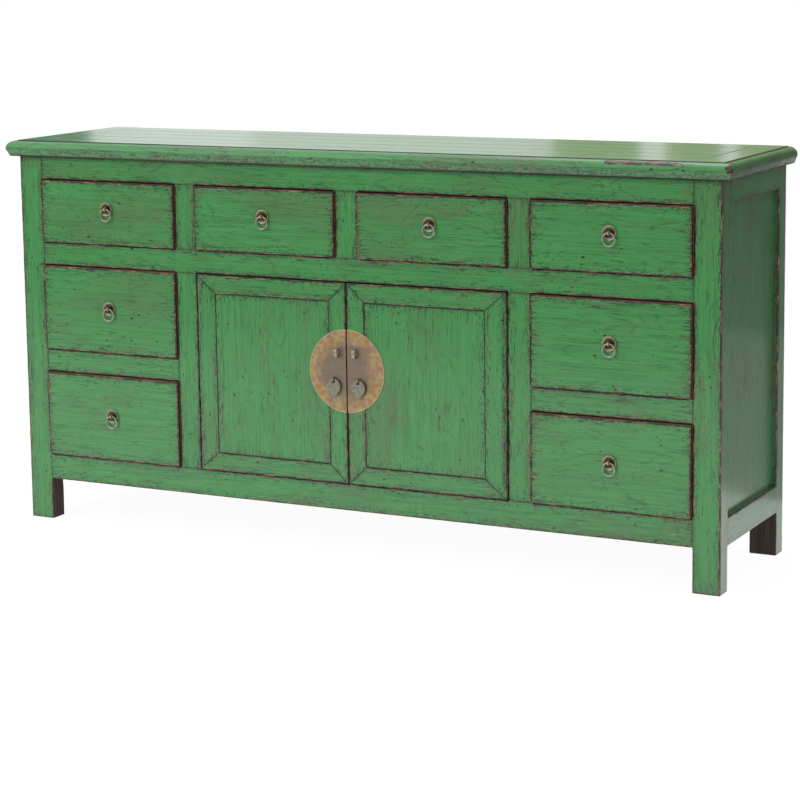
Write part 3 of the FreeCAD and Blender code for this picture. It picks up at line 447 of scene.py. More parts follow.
def makeLacquer(name, look):
    material, tree, wood = startMaterial(name)
    tone = {key: toLinear(value) for key, value in look.items() if isinstance(value, str)}
    signedWear = addNode(tree, "Attribute", {}, "Fac", attribute_name="wear")
    grime = addNode(tree, "Attribute", {}, "Fac", attribute_name="grime")
    brush = patternAt(tree, wood, look["brush"])
    grain = patternAt(tree, wood, look["grain"], detail=2.0)
    cloud = patternAt(tree, wood, look["cloud"], detail=4.0)
    patch = patternAt(tree, wood, look["patch"], detail=5.0, rough=0.7)
    colour = layOver(tree, tone["deep"], tone["bright"], (brush, 0.15, 0.62))
    colour = layOver(tree, colour, tone["olive"], (cloud, 0.46, 0.72), top=0.6)
    colour = layOver(tree, colour, tone["pale"], (patch, 0.56, 0.78), top=0.45)
    colour = layOver(tree, colour, tone["deep"], (grain, 0.54, 0.72), top=0.35, blend="MULTIPLY")
    # the elm's figure: fine curved bands where its grain lines and the paint's patches let them show
    figure = patternAt(tree, wood, look["figure"], detail=1.0, rough=0.5, warp=0.6)
    bands = addNode(tree, "Math", {0: addUp(tree, 0.0, (figure, look["figureBands"]))}, operation="FRACT")
    colour = layOver(tree, colour, tone["deep"], (bands, 0.62, 0.95), (grain, 0.35, 0.6), (patch, 0.42, 0.6),
                     top=0.55, blend="MULTIPLY")
    # thin paint: the wood shows brown between the grain lines in some places, mostly near the ends of a board
    thinPlace = addUp(tree, patternAt(tree, wood, look["thinPlace"]), (grime, 0.11))
    thinLine = patternAt(tree, wood, look["thinLine"], rough=0.65)
    colour = layOver(tree, colour, tone["thin"], (thinPlace, 0.55, 0.72), (thinLine, 0.46, 0.62), top=0.75)
    # dirt: short dark strokes along the grain and specks, both thicker near an edge
    stroke = addUp(tree, patternAt(tree, wood, look["stroke"], rough=0.6), (grime, 0.14))
    speck = addUp(tree, patternAt(tree, wood, look["speck"], detail=4.0, rough=0.75), (grime, 0.15))
    dirt = addNode(tree, "Math", {0: maskOf(tree, (stroke, 0.65, 0.74), top=0.7),
                                  1: maskOf(tree, (speck, 0.64, 0.72), top=0.75)}, operation="MAXIMUM")
    colour = layOver(tree, colour, tone["dirt"], top=dirt)
    # pits: a dark dent in some cells of a jittered lattice, with a smaller lattice between, gathered in places
    pitPlace = patternAt(tree, wood, look["pitPlace"], detail=2.0)
    gathered = addUp(tree, 0.2, (maskOf(tree, (pitPlace, 0.44, 0.60), top=0.8), 1.0))
    pits = 0.0
    for spacing, size, empty in look["pits"]:
        share = size / spacing
        cells = addNode(tree, "VectorMath", {0: wood, 1: (0.55 / spacing, 1 / spacing, 1 / spacing)},
                        operation="MULTIPLY")
        distance = addNode(tree, "TexVoronoi", {"Vector": cells, "Scale": 1.0}, "Distance", feature="F1")
        chance = addNode(tree, "SeparateColor", {0: distance.node.outputs["Color"]})
        reach = maskOf(tree, (chance, empty, 1.0), top=addUp(tree, 0.0, (gathered, share)))
        pitEdge = patternAt(tree, wood, look["pitEdge"], detail=2.0)
        inside = addUp(tree, reach, (distance, -1.0), (pitEdge, -0.4 * share))
        found = maskOf(tree, (inside, -0.1 * share, 0.12 * share))
        pits = addNode(tree, "Math", {0: pits, 1: found}, operation="MAXIMUM")
    colour = layOver(tree, colour, tone["dirt"], top=addUp(tree, 0.0, (pits, 0.92)))
    # bare wood at the arrises, with black wear stains, and dark lines where the wear is below zero: joint
    # lines, and painted shadow lines such as the one at the foot of the top's nose
    wear = addNode(tree, "Math", {0: signedWear, 1: 0.0}, operation="MAXIMUM")
    ragged = patternAt(tree, wood, look["ragged"], detail=5.0, rough=0.7)
    bare = maskOf(tree, (addUp(tree, -0.85, (wear, 1.0), (ragged, 1.7)), look["wearLow"], look["wearHigh"]))
    stain = patternAt(tree, wood, look["stain"], detail=5.0, rough=0.75)
    bareColour = layOver(tree, tone["bareDark"], tone["bareWood"], (stain, 0.48, 0.57))
    bareColour = layOver(tree, bareColour, tone["barePale"], (stain, 0.58, 0.66))
    colour = layOver(tree, colour, bareColour, top=bare)
    seamAndShadowLine = addNode(tree, "Math", {0: addUp(tree, 0.0, (signedWear, -0.9)), 1: 0.0}, operation="MAXIMUM")
    colour = layOver(tree, colour, tone["seamAndShadowLine"], top=seamAndShadowLine)
    hollows = addNode(tree, "Math", {0: pits, 1: dirt}, operation="MAXIMUM")
    ripple = patternAt(tree, wood, look["ripple"], detail=1.0)
    height = addUp(tree, 0.0, (brush, 0.35), (grain, 0.3), (hollows, -1.2), (bare, -0.5),
                   (ripple, look["wave"]))
    roughness = addUp(tree, look["roughness"], (bare, 0.22), (cloud, 0.12))
    finishMaterial(tree, {"Base Color": colour, "Roughness": roughness, "IOR": 1.5, "Coat Weight": look["coat"],
                          "Coat Roughness": look["coatRoughness"]}, height, 0.5, 0.25 * mm)
    return material


# Bare wood, sawn and planed and gone brown with age: broad soft grain lines and stains, no shine.
# The fine lines are coarser than real fibres, which would not show.
rawWoodLook = {"rings": (420 * mm, 11 * mm), "fibres": (60 * mm, 1.6 * mm), "stain": (150 * mm, 60 * mm)}


def makeRawWood(name, light, dark, roughness=0.72):
    material, tree, wood = startMaterial(name)
    light, dark = toLinear(light), toLinear(dark)
    rings = patternAt(tree, wood, rawWoodLook["rings"], warp=0.6)
    fibres = patternAt(tree, wood, rawWoodLook["fibres"], detail=2.0)
    stain = patternAt(tree, wood, rawWoodLook["stain"], detail=4.0, rough=0.65)
    colour = layOver(tree, dark, light, (rings, 0.35, 0.65))
    colour = layOver(tree, colour, dark, (fibres, 0.5, 0.75), top=0.5)
    colour = layOver(tree, colour, dark, (stain, 0.5, 0.8), top=0.5, blend="MULTIPLY")
    finishMaterial(tree, {"Base Color": colour, "Roughness": addUp(tree, roughness - 0.1, (fibres, 0.2)),
                          "IOR": 1.5}, addUp(tree, rings, (fibres, 1.0)), 0.4, 0.3 * mm)
    return material


# Cast and filed brass, handled for years: brown in the hollows, pale where it is rubbed
brassLook = {"mottle": (7 * mm, 5 * mm), "spots": (2.2 * mm, 1.8 * mm)}


def makeBrass(name, pale, brown, dark, hollow, roughness=0.38):
    # hollow says how dark the metal's attribute wear, which here marks hollows, makes it
    material, tree, place = startMaterial(name)
    dark = toLinear(dark)
    wear = addNode(tree, "Attribute", {}, "Fac", attribute_name="wear")
    mottle = patternAt(tree, place, brassLook["mottle"], detail=5.0, rough=0.65)
    spots = patternAt(tree, place, brassLook["spots"])
    colour = layOver(tree, toLinear(pale), toLinear(brown), (mottle, 0.4, 0.65))
    colour = layOver(tree, colour, dark, (spots, 0.6, 0.75), top=0.6)
    colour = layOver(tree, colour, dark, top=addUp(tree, 0.0, (wear, hollow)))
    finishMaterial(tree, {"Base Color": colour, "Roughness": addUp(tree, roughness, (mottle, 0.2)),
                          "Metallic": 1.0}, addUp(tree, mottle, (spots, 1.0)), 0.25, 0.2 * mm)
    return material


# Sheet brass with a purple-grey skin in the middle and an ochre rim, where it has been rubbed
plateLook = {
    "radius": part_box("door_2_plate")[1].x, "roughness": 0.42, "rim": "#b08c5c", "rimPale": "#c2aa82",
    "lilac": "#938480", "middle": "#857872", "middleWarm": "#a08a6e", "dark": "#40332e", "edge": "#cfc4a4",
    "drift": (34 * mm, 30 * mm), "warmth": (18 * mm, 12 * mm), "paleness": (14 * mm, 11 * mm),
    "clouds": (26 * mm, 20 * mm), "spots": (4.5 * mm, 3.5 * mm), "dents": (25 * mm, 25 * mm),
}


def makePlateBrass(name, look):
    material, tree, place = startMaterial(name)
    tone = {key: toLinear(value) for key, value in look.items() if isinstance(value, str)}
    wear = addNode(tree, "Attribute", {}, "Fac", attribute_name="wear")
    radial = addNode(tree, "VectorMath", {0: place}, "Value", operation="LENGTH")
    drift = patternAt(tree, place, look["drift"])
    fromMiddle = addUp(tree, -0.4, (radial, 1 / look["radius"]), (drift, 0.8))
    warmth = patternAt(tree, place, look["warmth"], detail=4.0)
    paleness = patternAt(tree, place, look["paleness"], detail=4.0)
    inner = layOver(tree, tone["middle"], tone["middleWarm"], top=warmth)
    outer = layOver(tree, tone["rim"], tone["rimPale"], (paleness, 0.35, 0.65))
    colour = layOver(tree, inner, outer, (fromMiddle, 0.50, 0.88))
    clouds = patternAt(tree, place, look["clouds"], detail=5.0, rough=0.65)
    colour = layOver(tree, colour, tone["lilac"], (clouds, 0.50, 0.66), top=0.75)
    spots = patternAt(tree, place, look["spots"], detail=4.0, rough=0.7)
    colour = layOver(tree, colour, tone["dark"], (spots, 0.6, 0.72), top=0.45)
    colour = layOver(tree, colour, tone["edge"], top=wear)
    dents = patternAt(tree, place, look["dents"], detail=1.0)
    finishMaterial(tree, {"Base Color": colour, "Roughness": addUp(tree, look["roughness"], (drift, 0.2)),
                          "Metallic": 0.85}, addUp(tree, spots, (dents, 3.0)), 0.35, 0.3 * mm)
    return material


lacquer = makeLacquer("greenLacquerOnElm", lacquerLook)
# the sides are less even than the front, with wavier reflections, and painted darker: painted shade, as the
# sides get less light than the front
shadedSideLacquer = makeLacquer("greenLacquerShadedSide", {
    **lacquerLook, "bright": "#437c4b", "deep": "#37653f", "olive": "#495c3b", "pale": "#568057", "wave": 7.0})
topLacquer = makeLacquer("greenLacquerPolishedTop", {**lacquerLook, "wave": 22.0})  # breaks up the reflections
underside = makeRawWood("stainedElmUndersideInShade", "#4a3a30", "#231a17")  # never painted and sooty: nearly black, which on faces under the cabinet and in gaps is also painted shade
backWood = makeRawWood("stainedFirBack", "#6b4a36", "#3a261c")  # bare boards gone dark brown against the wall
rawWood = makeRawWood("planedFir", "#b58e62", "#84603d")  # kept clean and pale inside the case
edgeWood = makeRawWood("rubbedElmEdge", "#7d6054", "#46302b", 0.6)  # drawer edges rubbed bare, a little shiny
shadedEdge = makeRawWood("sootyElmEdgeInShade", "#3b2a25", "#17100e", 0.6)  # drawer ends nearly black: dirt in their gaps, and painted shade of the gaps beside them
brass = makeBrass("rubbedCastBrass", "#b4b8a9", "#90907f", "#4a4640", 0.9)  # rubbed by fingers: pale, greyish
leafBrass = makeBrass("rubbedLeafBrass", "#a3a28f", "#8c8874", "#3c362f", 0.3)  # browner than the rings
rosetteBrass = makeBrass("turnedBrassDish", "#d2c8a6", "#ab9876", "#2f2628", 1.0)  # bright rim, tarnished dish
plateBrass = makePlateBrass("patinatedSheetBrass", plateLook)
print("materials made")

# case: posts, rails, stiles and panels

seedCount = [0]


def nextSeed():
    seedCount[0] += 1
    return seedCount[0] * 1.618


def span(low, high):
    return Vector(low), Vector(high)


def mirrored(low, high, side):
    return span((min(low[0] * side, high[0] * side), low[1], low[2]),
                (max(low[0] * side, high[0] * side), high[1], high[2]))


def rail(level, y, x=(-postInner, postInner)):
    return span((x[0], y[0], levels[level][0]), (x[1], y[1], levels[level][1]))


stileOuter = max(box[1].x for box in stileBoxes)
stileZ = {"lower": (levels["bottom"][1], levels["middle"][0]), "upper": (levels["middle"][1], levels["top"][0])}
backStileHalf, backStileMiddle = 45 * mm, stileOuter - 26 * mm
frontY, backY = (frontFace, railBack), (backRailFront, backFace)
caseParts = {"front_posts": [], "back_posts": [], "front_stiles": [], "drawer_dividers": [], "side_rails": []}
for side in (-1, 1):
    caseParts["front_posts"].append((*mirrored((postInner, frontFace, 0), (postOuter, postBack, underTop),
                                               side), 2))
    caseParts["back_posts"].append((*mirrored((postInner, backPostFront, 0), (postOuter, backFace, underTop),
                                              side), 2))
    caseParts["drawer_dividers"].append((*mirrored((stileOuter, frontFace, levels["divider"][0]),
                                                   (postInner, railBack, levels["divider"][1]), side), 0))
    for level in ("top", "bottom"):
        caseParts["side_rails"].append((*mirrored((sideRailInner, postBack, levels[level][0]),
                                                  (postOuter, backPostFront, levels[level][1]), side), 1))
for low, high in stileBoxes:
    z = stileZ["upper" if (low.z + high.z) / 2 > levels["middle"][0] else "lower"]
    caseParts["front_stiles"].append((*span((low.x, frontFace, z[0]), (high.x, railBack, z[1])), 2))
for level in ("top", "middle", "bottom"):
    caseParts[f"front_{level}_rail"] = [(*rail(level, frontY), 0)]
caseParts["back_rails"] = [(*rail(level, backY), 0) for level in ("top", "middle", "bottom")]
for side in (-1, 1):
    for z in stileZ.values():
        caseParts["back_rails"].append((*mirrored((backStileMiddle - backStileHalf, backY[0], z[0]),
                                                  (backStileMiddle + backStileHalf, backY[1], z[1]), side), 2))
caseParts["left_side_panel"] = [(*mirrored(*sidePanel, -1), 2)]
caseParts["right_side_panel"] = [(*sidePanel, 2)]
caseParts["back_panel"] = [(*box, 2) for box in solidBoxes("back_panel")]
caseParts["bottom_boards"] = [(*box, 1) for box in solidBoxes("bottom_boards")]
topRoof = (Vector((-2, -2, underTop)), Vector((2, 2, underTop + 30 * mm)))
jointed = [part[:2] for parts in caseParts.values() for part in parts] + [topRoof]


def inwardFaces(centre, normal):
    # the faces of legs that look under the cabinet, and every face that looks down, were never painted; their
    # near-black wood is also painted shade under the cabinet
    below = centre.z < levels["bottom"][0]
    inner = normal.x * centre.x < -0.5 * abs(centre.x) and abs(normal.x) > 0.7
    deeper = abs(normal.y) > 0.7 and (normal.y > 0) == (centre.y < 0)
    if (below and (inner or deeper)) or normal.z < -0.7:
        return 1
    # faces that look sideways out of the case, or lie in its back half, get the darker side paint, which is
    # painted shade
    return 2 if centre.y > 0 or normal.x * centre.x > 0.7 * abs(centre.x) else 0


def innerFaces(centre, normal):
    return 1 if normal.z < -0.7 or normal.y > 0.7 else 0


caseLook = {"postRadius": 2.4 * mm, "railRadius": 1.3 * mm, "panelRadius": 0.5 * mm, "widestEar": 50 * mm}
for node, parts in caseParts.items():
    shape = newShape()
    for low, high, along in parts:
        if "posts" in node:
            addBoard(shape, low, high, along, nextSeed(), radius=caseLook["postRadius"], neighbours=jointed,
                     endRounds=(1.5 * mm, 0.3 * mm), endWear=(1.0, -1.0))
        elif "panel" in node or node == "bottom_boards":
            addBoard(shape, low, high, along, nextSeed(), radius=caseLook["panelRadius"], wearShare=0.4,
                     step=16 * mm)
        else:
            addBoard(shape, low, high, along, nextSeed(), radius=caseLook["railRadius"], neighbours=jointed)
    if node == "front_bottom_rail":
        # the small curved ears beside the legs: a quarter hollow, lofted from front to back
        ears = [box for box in solidBoxes(node) if box[1].x - box[0].x < caseLook["widestEar"]]
        for low, high in ears:
            outward, legSide = (1, high.x) if low.x > 0 else (-1, low.x)
            size = high.z - low.z
            section = [(legSide - outward * size * (1 - math.sin(turn)), low.z + size * math.cos(turn), 0.5)
                       for turn in (0, 0.4, 0.8, 1.2, math.pi / 2)] + [(legSide, high.z, 0.0)]
            rings = [[(x, y, z) for x, z, wear in section] for y in (low.y + 0.2 * mm, low.y + 12 * mm, high.y)]
            flat = [[wear for x, z, wear in section]] * 3
            addGrid(shape, rings, flat, flat, woodFrame(0, nextSeed()))
    isBack = node in ("back_rails", "back_panel")
    isSide = "side" in node
    # the side rails and panels get the darker side paint, which is painted shade
    paint = shadedSideLacquer if isSide else (backWood if isBack else lacquer)
    if node == "bottom_boards":
        paint = rawWood
    finishShape(shape, node + "_dressed", [paint, backWood if isBack else underside, shadedSideLacquer], "case",
                [node],
                paintOf=inwardFaces if "posts" in node else (innerFaces if not isBack else None))
print("case built")

# top: a mitred frame with a rounded nose round three boards

topLook = {"bead": 20 * mm, "beadStep": 1.5 * mm, "noseRadius": 17 * mm, "taper": 7 * mm, "width": 84 * mm,
           "boardWidth": 84 * mm, "waves": 0.35 * mm}
topEdge, topFront, topHigh = topBox[1].x, topBox[0].y, topBox[1].z


def topSection(look):
    # the section of a frame member, as distance from the outer edge, height, wear and grime; wear below zero
    # draws a dark line: the joints, the line beside the bead, and at the foot of the nose a painted shadow with
    # dirt
    width, bead, taper = look["width"], look["bead"], look["taper"]
    nose = topHigh - look["beadStep"]
    line = nose - look["noseRadius"]
    points = [(width, underTop, 0, 0), (width, topHigh - 1.2 * mm, -0.8, 0.8),
              (width - 0.4 * mm, topHigh - 0.4 * mm, -0.8, 0.8), (width - 1.4 * mm, topHigh, -0.5, 0.8),
              (width - 4 * mm, topHigh, 0, 0.2), (width - 24 * mm, topHigh, 0, 0),
              (bead + 14 * mm, topHigh, 0, 0), (bead + 4 * mm, topHigh, 0, 0.6),
              (bead + 0.7 * mm, topHigh, -0.7, 1), (bead, topHigh - 0.4 * mm, -1, 1),
              (bead - 0.2 * mm, nose, -1, 1), (bead - 1.6 * mm, nose - 0.2 * mm, -0.8, 0.8)]
    for step in range(13):
        turn = math.pi / 2 * step / 12
        # the first steps lie in the dark line beside the bead
        worn = 0.10 + 0.16 * math.sin(turn * 2) if step > 2 else (-1, -0.85, -0.4)[step]
        points.append((look["noseRadius"] * (1 - math.sin(turn)), line + look["noseRadius"] * math.cos(turn),
                       worn, 0.3))
    points += [(0.3 * mm, line - 1.6 * mm, 0.3, 1), (1.1 * mm, line - 3.6 * mm, 0.1, 1),
               (taper * 0.6, (line + underTop) / 2 - 2 * mm, 0, 1),
               # the foot of the nose darkens to a near-black line: painted shadow under the nose, with dirt
               (taper - 1.2 * mm, underTop + 2.6 * mm, -0.5, 1),
               (taper - 0.6 * mm, underTop + 1.2 * mm, -0.9, 1), (taper + 0.6 * mm, underTop, -1, 1),
               (taper + 8 * mm, underTop, -0.6, 1)]
    return points


def addMember(shape, place, spanOf, seed, along, section, step):
    # lofts the section between two mitres: spanOf gives the ends at a distance from the outer edge
    first, last = spanOf(0)
    count = max(2, int(abs(last - first) / step))
    rings, wears, grimes = [], [], []
    closeToEnd = [0.0, 0.0012, 0.004, 0.012]
    shares = sorted(set(closeToEnd + [index / count for index in range(1, count)] +
                        [1 - value for value in closeToEnd]))
    for share in shares:
        ring, wearRing, grimeRing = [], [], []
        atEnd = share in (0, 1)
        for d, z, wear, grime in section:
            first, last = spanOf(d)
            where = first + (last - first) * share
            wave = topLook["waves"] * noise.noise(Vector((where * 5, seed, z * 20)))
            dent = max(0, noise.noise(Vector((where * 35, seed * 3, d * 60))) - 0.5) * 1.5 * mm * (d < 16 * mm)
            ring.append(place(d + (abs(wave) + dent if d < topLook["width"] - 1 * mm else 0), z, where))
            turn = noise.noise(Vector((where * 12, seed * 5, z * 30)))
            wearRing.append(-0.9 if atEnd and wear >= 0 else wear * (1 + 0.6 * turn))
            grimeRing.append(max(grime, 0.9 * atEnd))
        rings.append(ring)
        wears.append(wearRing)
        grimes.append(grimeRing)
    addGrid(shape, rings, wears, grimes, woodFrame(along, seed))


section = topSection(topLook)
shape = newShape()
addMember(shape, lambda d, z, where: (where, topFront + d, z), lambda d: (-(topEdge - d), topEdge - d),
          nextSeed(), 0, section, boardLook["step"])
for side in (-1, 1):
    addMember(shape, lambda d, z, where, side=side: (side * (topEdge - d), where, z),
              lambda d: (topFront + d, backFace), nextSeed(), 1, section, boardLook["step"])
inner = topEdge - topLook["width"]
addBoard(shape, *span((-inner, backFace - topLook["width"], underTop), (inner, backFace, topHigh)), 0,
         nextSeed(), rounds=(0.4 * mm, 1.2 * mm, 1.5 * mm, 0.4 * mm))
knocks = {"mitreCorner": (Vector((topEdge - 4 * mm, topFront + 4 * mm, topHigh - 13 * mm)), 15 * mm, 0.8),
          "leftCorner": (Vector((-topEdge + 6 * mm, topFront + 6 * mm, topHigh - 4 * mm)), 24 * mm, 0.35)}
# a long flake along the nose: overlapping spots of uneven size make its ragged edge
flake = {"start": 0.600, "spots": 25, "apart": 6.5 * mm, "inset": 6.5 * mm, "drop": 4.6 * mm, "size": 9 * mm,
         "unevenness": 3 * mm, "amount": 0.75}
for number in range(flake["spots"]):
    turn = math.sin(number * 2.3) + 0.5 * math.sin(number * 0.9)
    spot = Vector((flake["start"] + number * flake["apart"], topFront + flake["inset"] + turn * mm,
                   topHigh - flake["drop"] + turn * mm))
    knocks[f"flakedStrip{number}"] = (spot, flake["size"] + turn * flake["unevenness"], flake["amount"])


def topPaint(centre, normal):
    # bare below, so that the nose's lowest strip is near-black: painted shadow under the nose, with dirt; the
    # darker side paint, which is painted shade, on the ends; the polished paint elsewhere
    if normal.z < -0.9 or centre.z < underTop + 2.4 * mm:
        return 1
    return 2 if abs(normal.x) > 0.5 else 0


finishShape(shape, "top_frame_dressed", [topLacquer, underside, shadedSideLacquer], "case", ["top_frame"],
            paintOf=topPaint, knocks=knocks)
shape = newShape()
for low, high in solidBoxes("top_boards"):
    if high.z > topHigh - 1 * mm:
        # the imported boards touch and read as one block, which is split into its boards again
        first, last = max(low.y, topFront + topLook["width"]), min(high.y, backFace - topLook["width"])
        count = max(1, round((last - first) / topLook["boardWidth"]))
        for number in range(count):
            edges = [first + (last - first) * (number + step) / count for step in (0, 1)]
            addBoard(shape, Vector((-inner, edges[0], low.z)), Vector((inner, edges[1], high.z)), 0, nextSeed(),
                     radius=1.2 * mm, wearShare=-0.7)
    else:
        addBoard(shape, low, high, 1, nextSeed(), radius=0.8 * mm, wearShare=0.2, step=20 * mm)
finishShape(shape, "top_boards_dressed", [topLacquer, underside], "case", ["top_boards"],
            paintOf=lambda centre, normal: 1 if normal.z < 0.2 else 0)
print("top built")

# hardware


def smoothLoop(points, count):
    # evenly spaced points on a closed outline of straight pieces
    lengths = [math.dist(a, b) for a, b in zip(points, points[1:] + points[:1])]
    total, out, index, passed = sum(lengths), [], 0, 0.0
    for step in range(count):
        goal = total * step / count
        while passed + lengths[index] < goal:
            passed += lengths[index]
            index += 1
        share = (goal - passed) / lengths[index]
        a, b = points[index], points[(index + 1) % len(points)]
        out.append((a[0] + (b[0] - a[0]) * share, a[1] + (b[1] - a[1]) * share))
    return out


def addPlaque(shape, outline, hub, holeRadius, front, back, edge, dome, woodOf, edgeWear=1.0, straight=None):
    # sheet metal cut to an outline in XZ, its front edge filed round; a ring runs from the hub to the outline
    rings, wears = [], []
    for x, z in outline:
        away = Vector((x - hub[0], z - hub[1]))
        reach = away.length
        aim = away / reach
        marks = [(holeRadius, back), (holeRadius, front + edge)]
        marks += [(holeRadius + edge * 0.5, front + edge * 0.2), (holeRadius + edge * 1.3, front)]
        marks += [(holeRadius + (reach - holeRadius) * share, front - dome * math.sin(math.pi * share) * 0.5)
                  for share in (0.25, 0.5, 0.72, 0.86)]
        marks += [(reach - edge * 2.6, front), (reach - edge * 1.2, front + edge * 0.05),
                  (reach - edge * 0.35, front + edge * 0.3), (reach, front + edge), (reach, back)]
        rings.append([(hub[0] + aim.x * radius, y, hub[1] + aim.y * radius) for radius, y in marks])
        worn = 0.1 if straight is not None and abs(x - straight) < 0.5 * mm else edgeWear
        wears.append([0] * 9 + [worn] * 3 + [0])
    rings.append(rings[0])
    wears.append(wears[0])
    addGrid(shape, rings, wears, wears, woodOf, caps=False)


rosetteLook = {"radius": 15.5 * mm, "foot": 12.5 * mm, "depth": 4 * mm, "rim": 1.6 * mm, "seat": 1.2 * mm,
               "hole": 3 * mm, "wobble": 0.008}
ringLook = {"radius": 13.5 * mm, "wire": 1.95 * mm, "wobble": 0.012}
eyeLook = {"wire": 1.45 * mm, "hole": 2.45 * mm, "shank": 3.4 * mm, "prong": 11 * mm, "prongDepth": 1.5 * mm}


def addCotter(shape, eye, woodBack, look):
    # a split pin: its eye in front, and two legs through the wood that are bent apart behind it
    wire, middle = look["wire"], look["hole"] + look["wire"]
    turns = [2 * math.pi * step / 28 for step in range(28)]
    path = [(eye.x, eye.y + middle * math.cos(turn), eye.z + middle * math.sin(turn)) for turn in turns]
    addWire(shape, path, (wire, wire), Vector((1, 0, 0)), eye, closed=True)
    legs = ((eye.y + middle, woodBack, look["shank"] / 2, 1, 0.6 * mm, 0.2 * mm),
            (woodBack, woodBack + look["prongDepth"], look["prong"], 2, 0.5 * mm, 0.5 * mm))
    for side in (-1, 1):
        for start, end, reach, along, radius, endRound in legs:
            low = Vector((eye.x - wire, start, eye.z if side > 0 else eye.z - reach))
            high = Vector((eye.x + wire, end, eye.z + reach if side > 0 else eye.z))
            addBoard(shape, low, high, along, nextSeed(), radius=radius, endRounds=(endRound, endRound),
                     wearShare=0, endWear=(0, 0), step=4 * mm)


def rosetteProfile(look):
    # a dish turned from sheet: its foot on the wood, a curled rim, and a hollow down to the seat of the pin
    outer, foot, depth = look["radius"], look["foot"], look["depth"]
    lip, lipAt = outer - look["rim"] - 0.2 * mm, -depth + 0.45 * mm
    profile = [(look["hole"], 0, 0.6), (foot - 1 * mm, 0, 0.4), (foot, -0.3 * mm, 0.4),
               (foot + 0.4 * mm, -1.2 * mm, 0.3), (foot + 1.3 * mm, -2.2 * mm, 0.15),
               (outer - 0.35 * mm, -depth + 0.9 * mm, 0), (outer, lipAt, 0),
               (outer - 0.2 * mm, -depth + 0.1 * mm, 0), (outer - 0.6 * mm, -depth, 0),
               (outer - look["rim"] * 0.8, -depth + 0.08 * mm, 0.05), (lip, lipAt, 0.35)]
    for share in (0.15, 0.3, 0.5, 0.7, 0.9, 1.0):
        sink = (1 - (1 - share) ** 2.2) * (depth - look["seat"] - 0.45 * mm)
        profile.append((lip + (look["hole"] - lip) * share, lipAt + sink, 0.5 + 0.4 * min(1, share * 2)))
    return profile


def ringPath(centre, radius, wobble, seed, count=64):
    path = []
    for step in range(count):
        turn = 2 * math.pi * step / count
        grow = radius * (1 + wobble * noise.noise(Vector((math.cos(turn) * 1.5, math.sin(turn) * 1.5, seed))))
        path.append((centre.x + grow * math.sin(turn), centre.y, centre.z + grow * math.cos(turn)))
    return path


# drawers

frontLook = {"arris": 1.9 * mm, "slab": 6.5 * mm, "bottomRadius": 1.2 * mm}
chipLook = {  # where paint has flaked off a drawer: share of its width and height, radius, how far gone
    1: ((0.78, 0.98, 14 * mm, 0.5), (0.55, 0.99, 12 * mm, 0.45)), 2: ((0.3, 0.99, 16 * mm, 0.45),),
    3: ((0.2, 0.01, 14 * mm, 0.45), (0.7, 0.99, 12 * mm, 0.4)),
    4: ((0.9, 0.0, 12 * mm, 0.45), (0.35, 1.0, 12 * mm, 0.4)),
    5: ((0.85, 0.99, 14 * mm, 0.45), (0.0, 0.6, 10 * mm, 0.5)), 6: ((0.5, 0.0, 12 * mm, 0.45),),
    7: ((0.55, 0.0, 16 * mm, 0.55), (0.2, 0.0, 9 * mm, 0.4)),
    8: ((0.42, 1.0, 12 * mm, 0.55), (0.52, 1.0, 17 * mm, 0.6), (0.62, 1.0, 14 * mm, 0.6),
        (0.0, 0.66, 9 * mm, 0.6), (1.0, 0.6, 10 * mm, 0.5), (1.0, 0.48, 10 * mm, 0.5),
        (0.08, 0.25, 7 * mm, 0.55), (0.62, 0.27, 6 * mm, 0.55)),
}


def jointPlace(name):
    return Vector(next(joint for joint in frame["joints"] if joint["name"] == name)["pos_m"])


def flaked(number, low, high):
    size = high - low
    return {place: (Vector((low.x + size.x * across, low.y, low.z + size.z * up)), radius, amount)
            for place, (across, up, radius, amount) in enumerate(chipLook[number])}


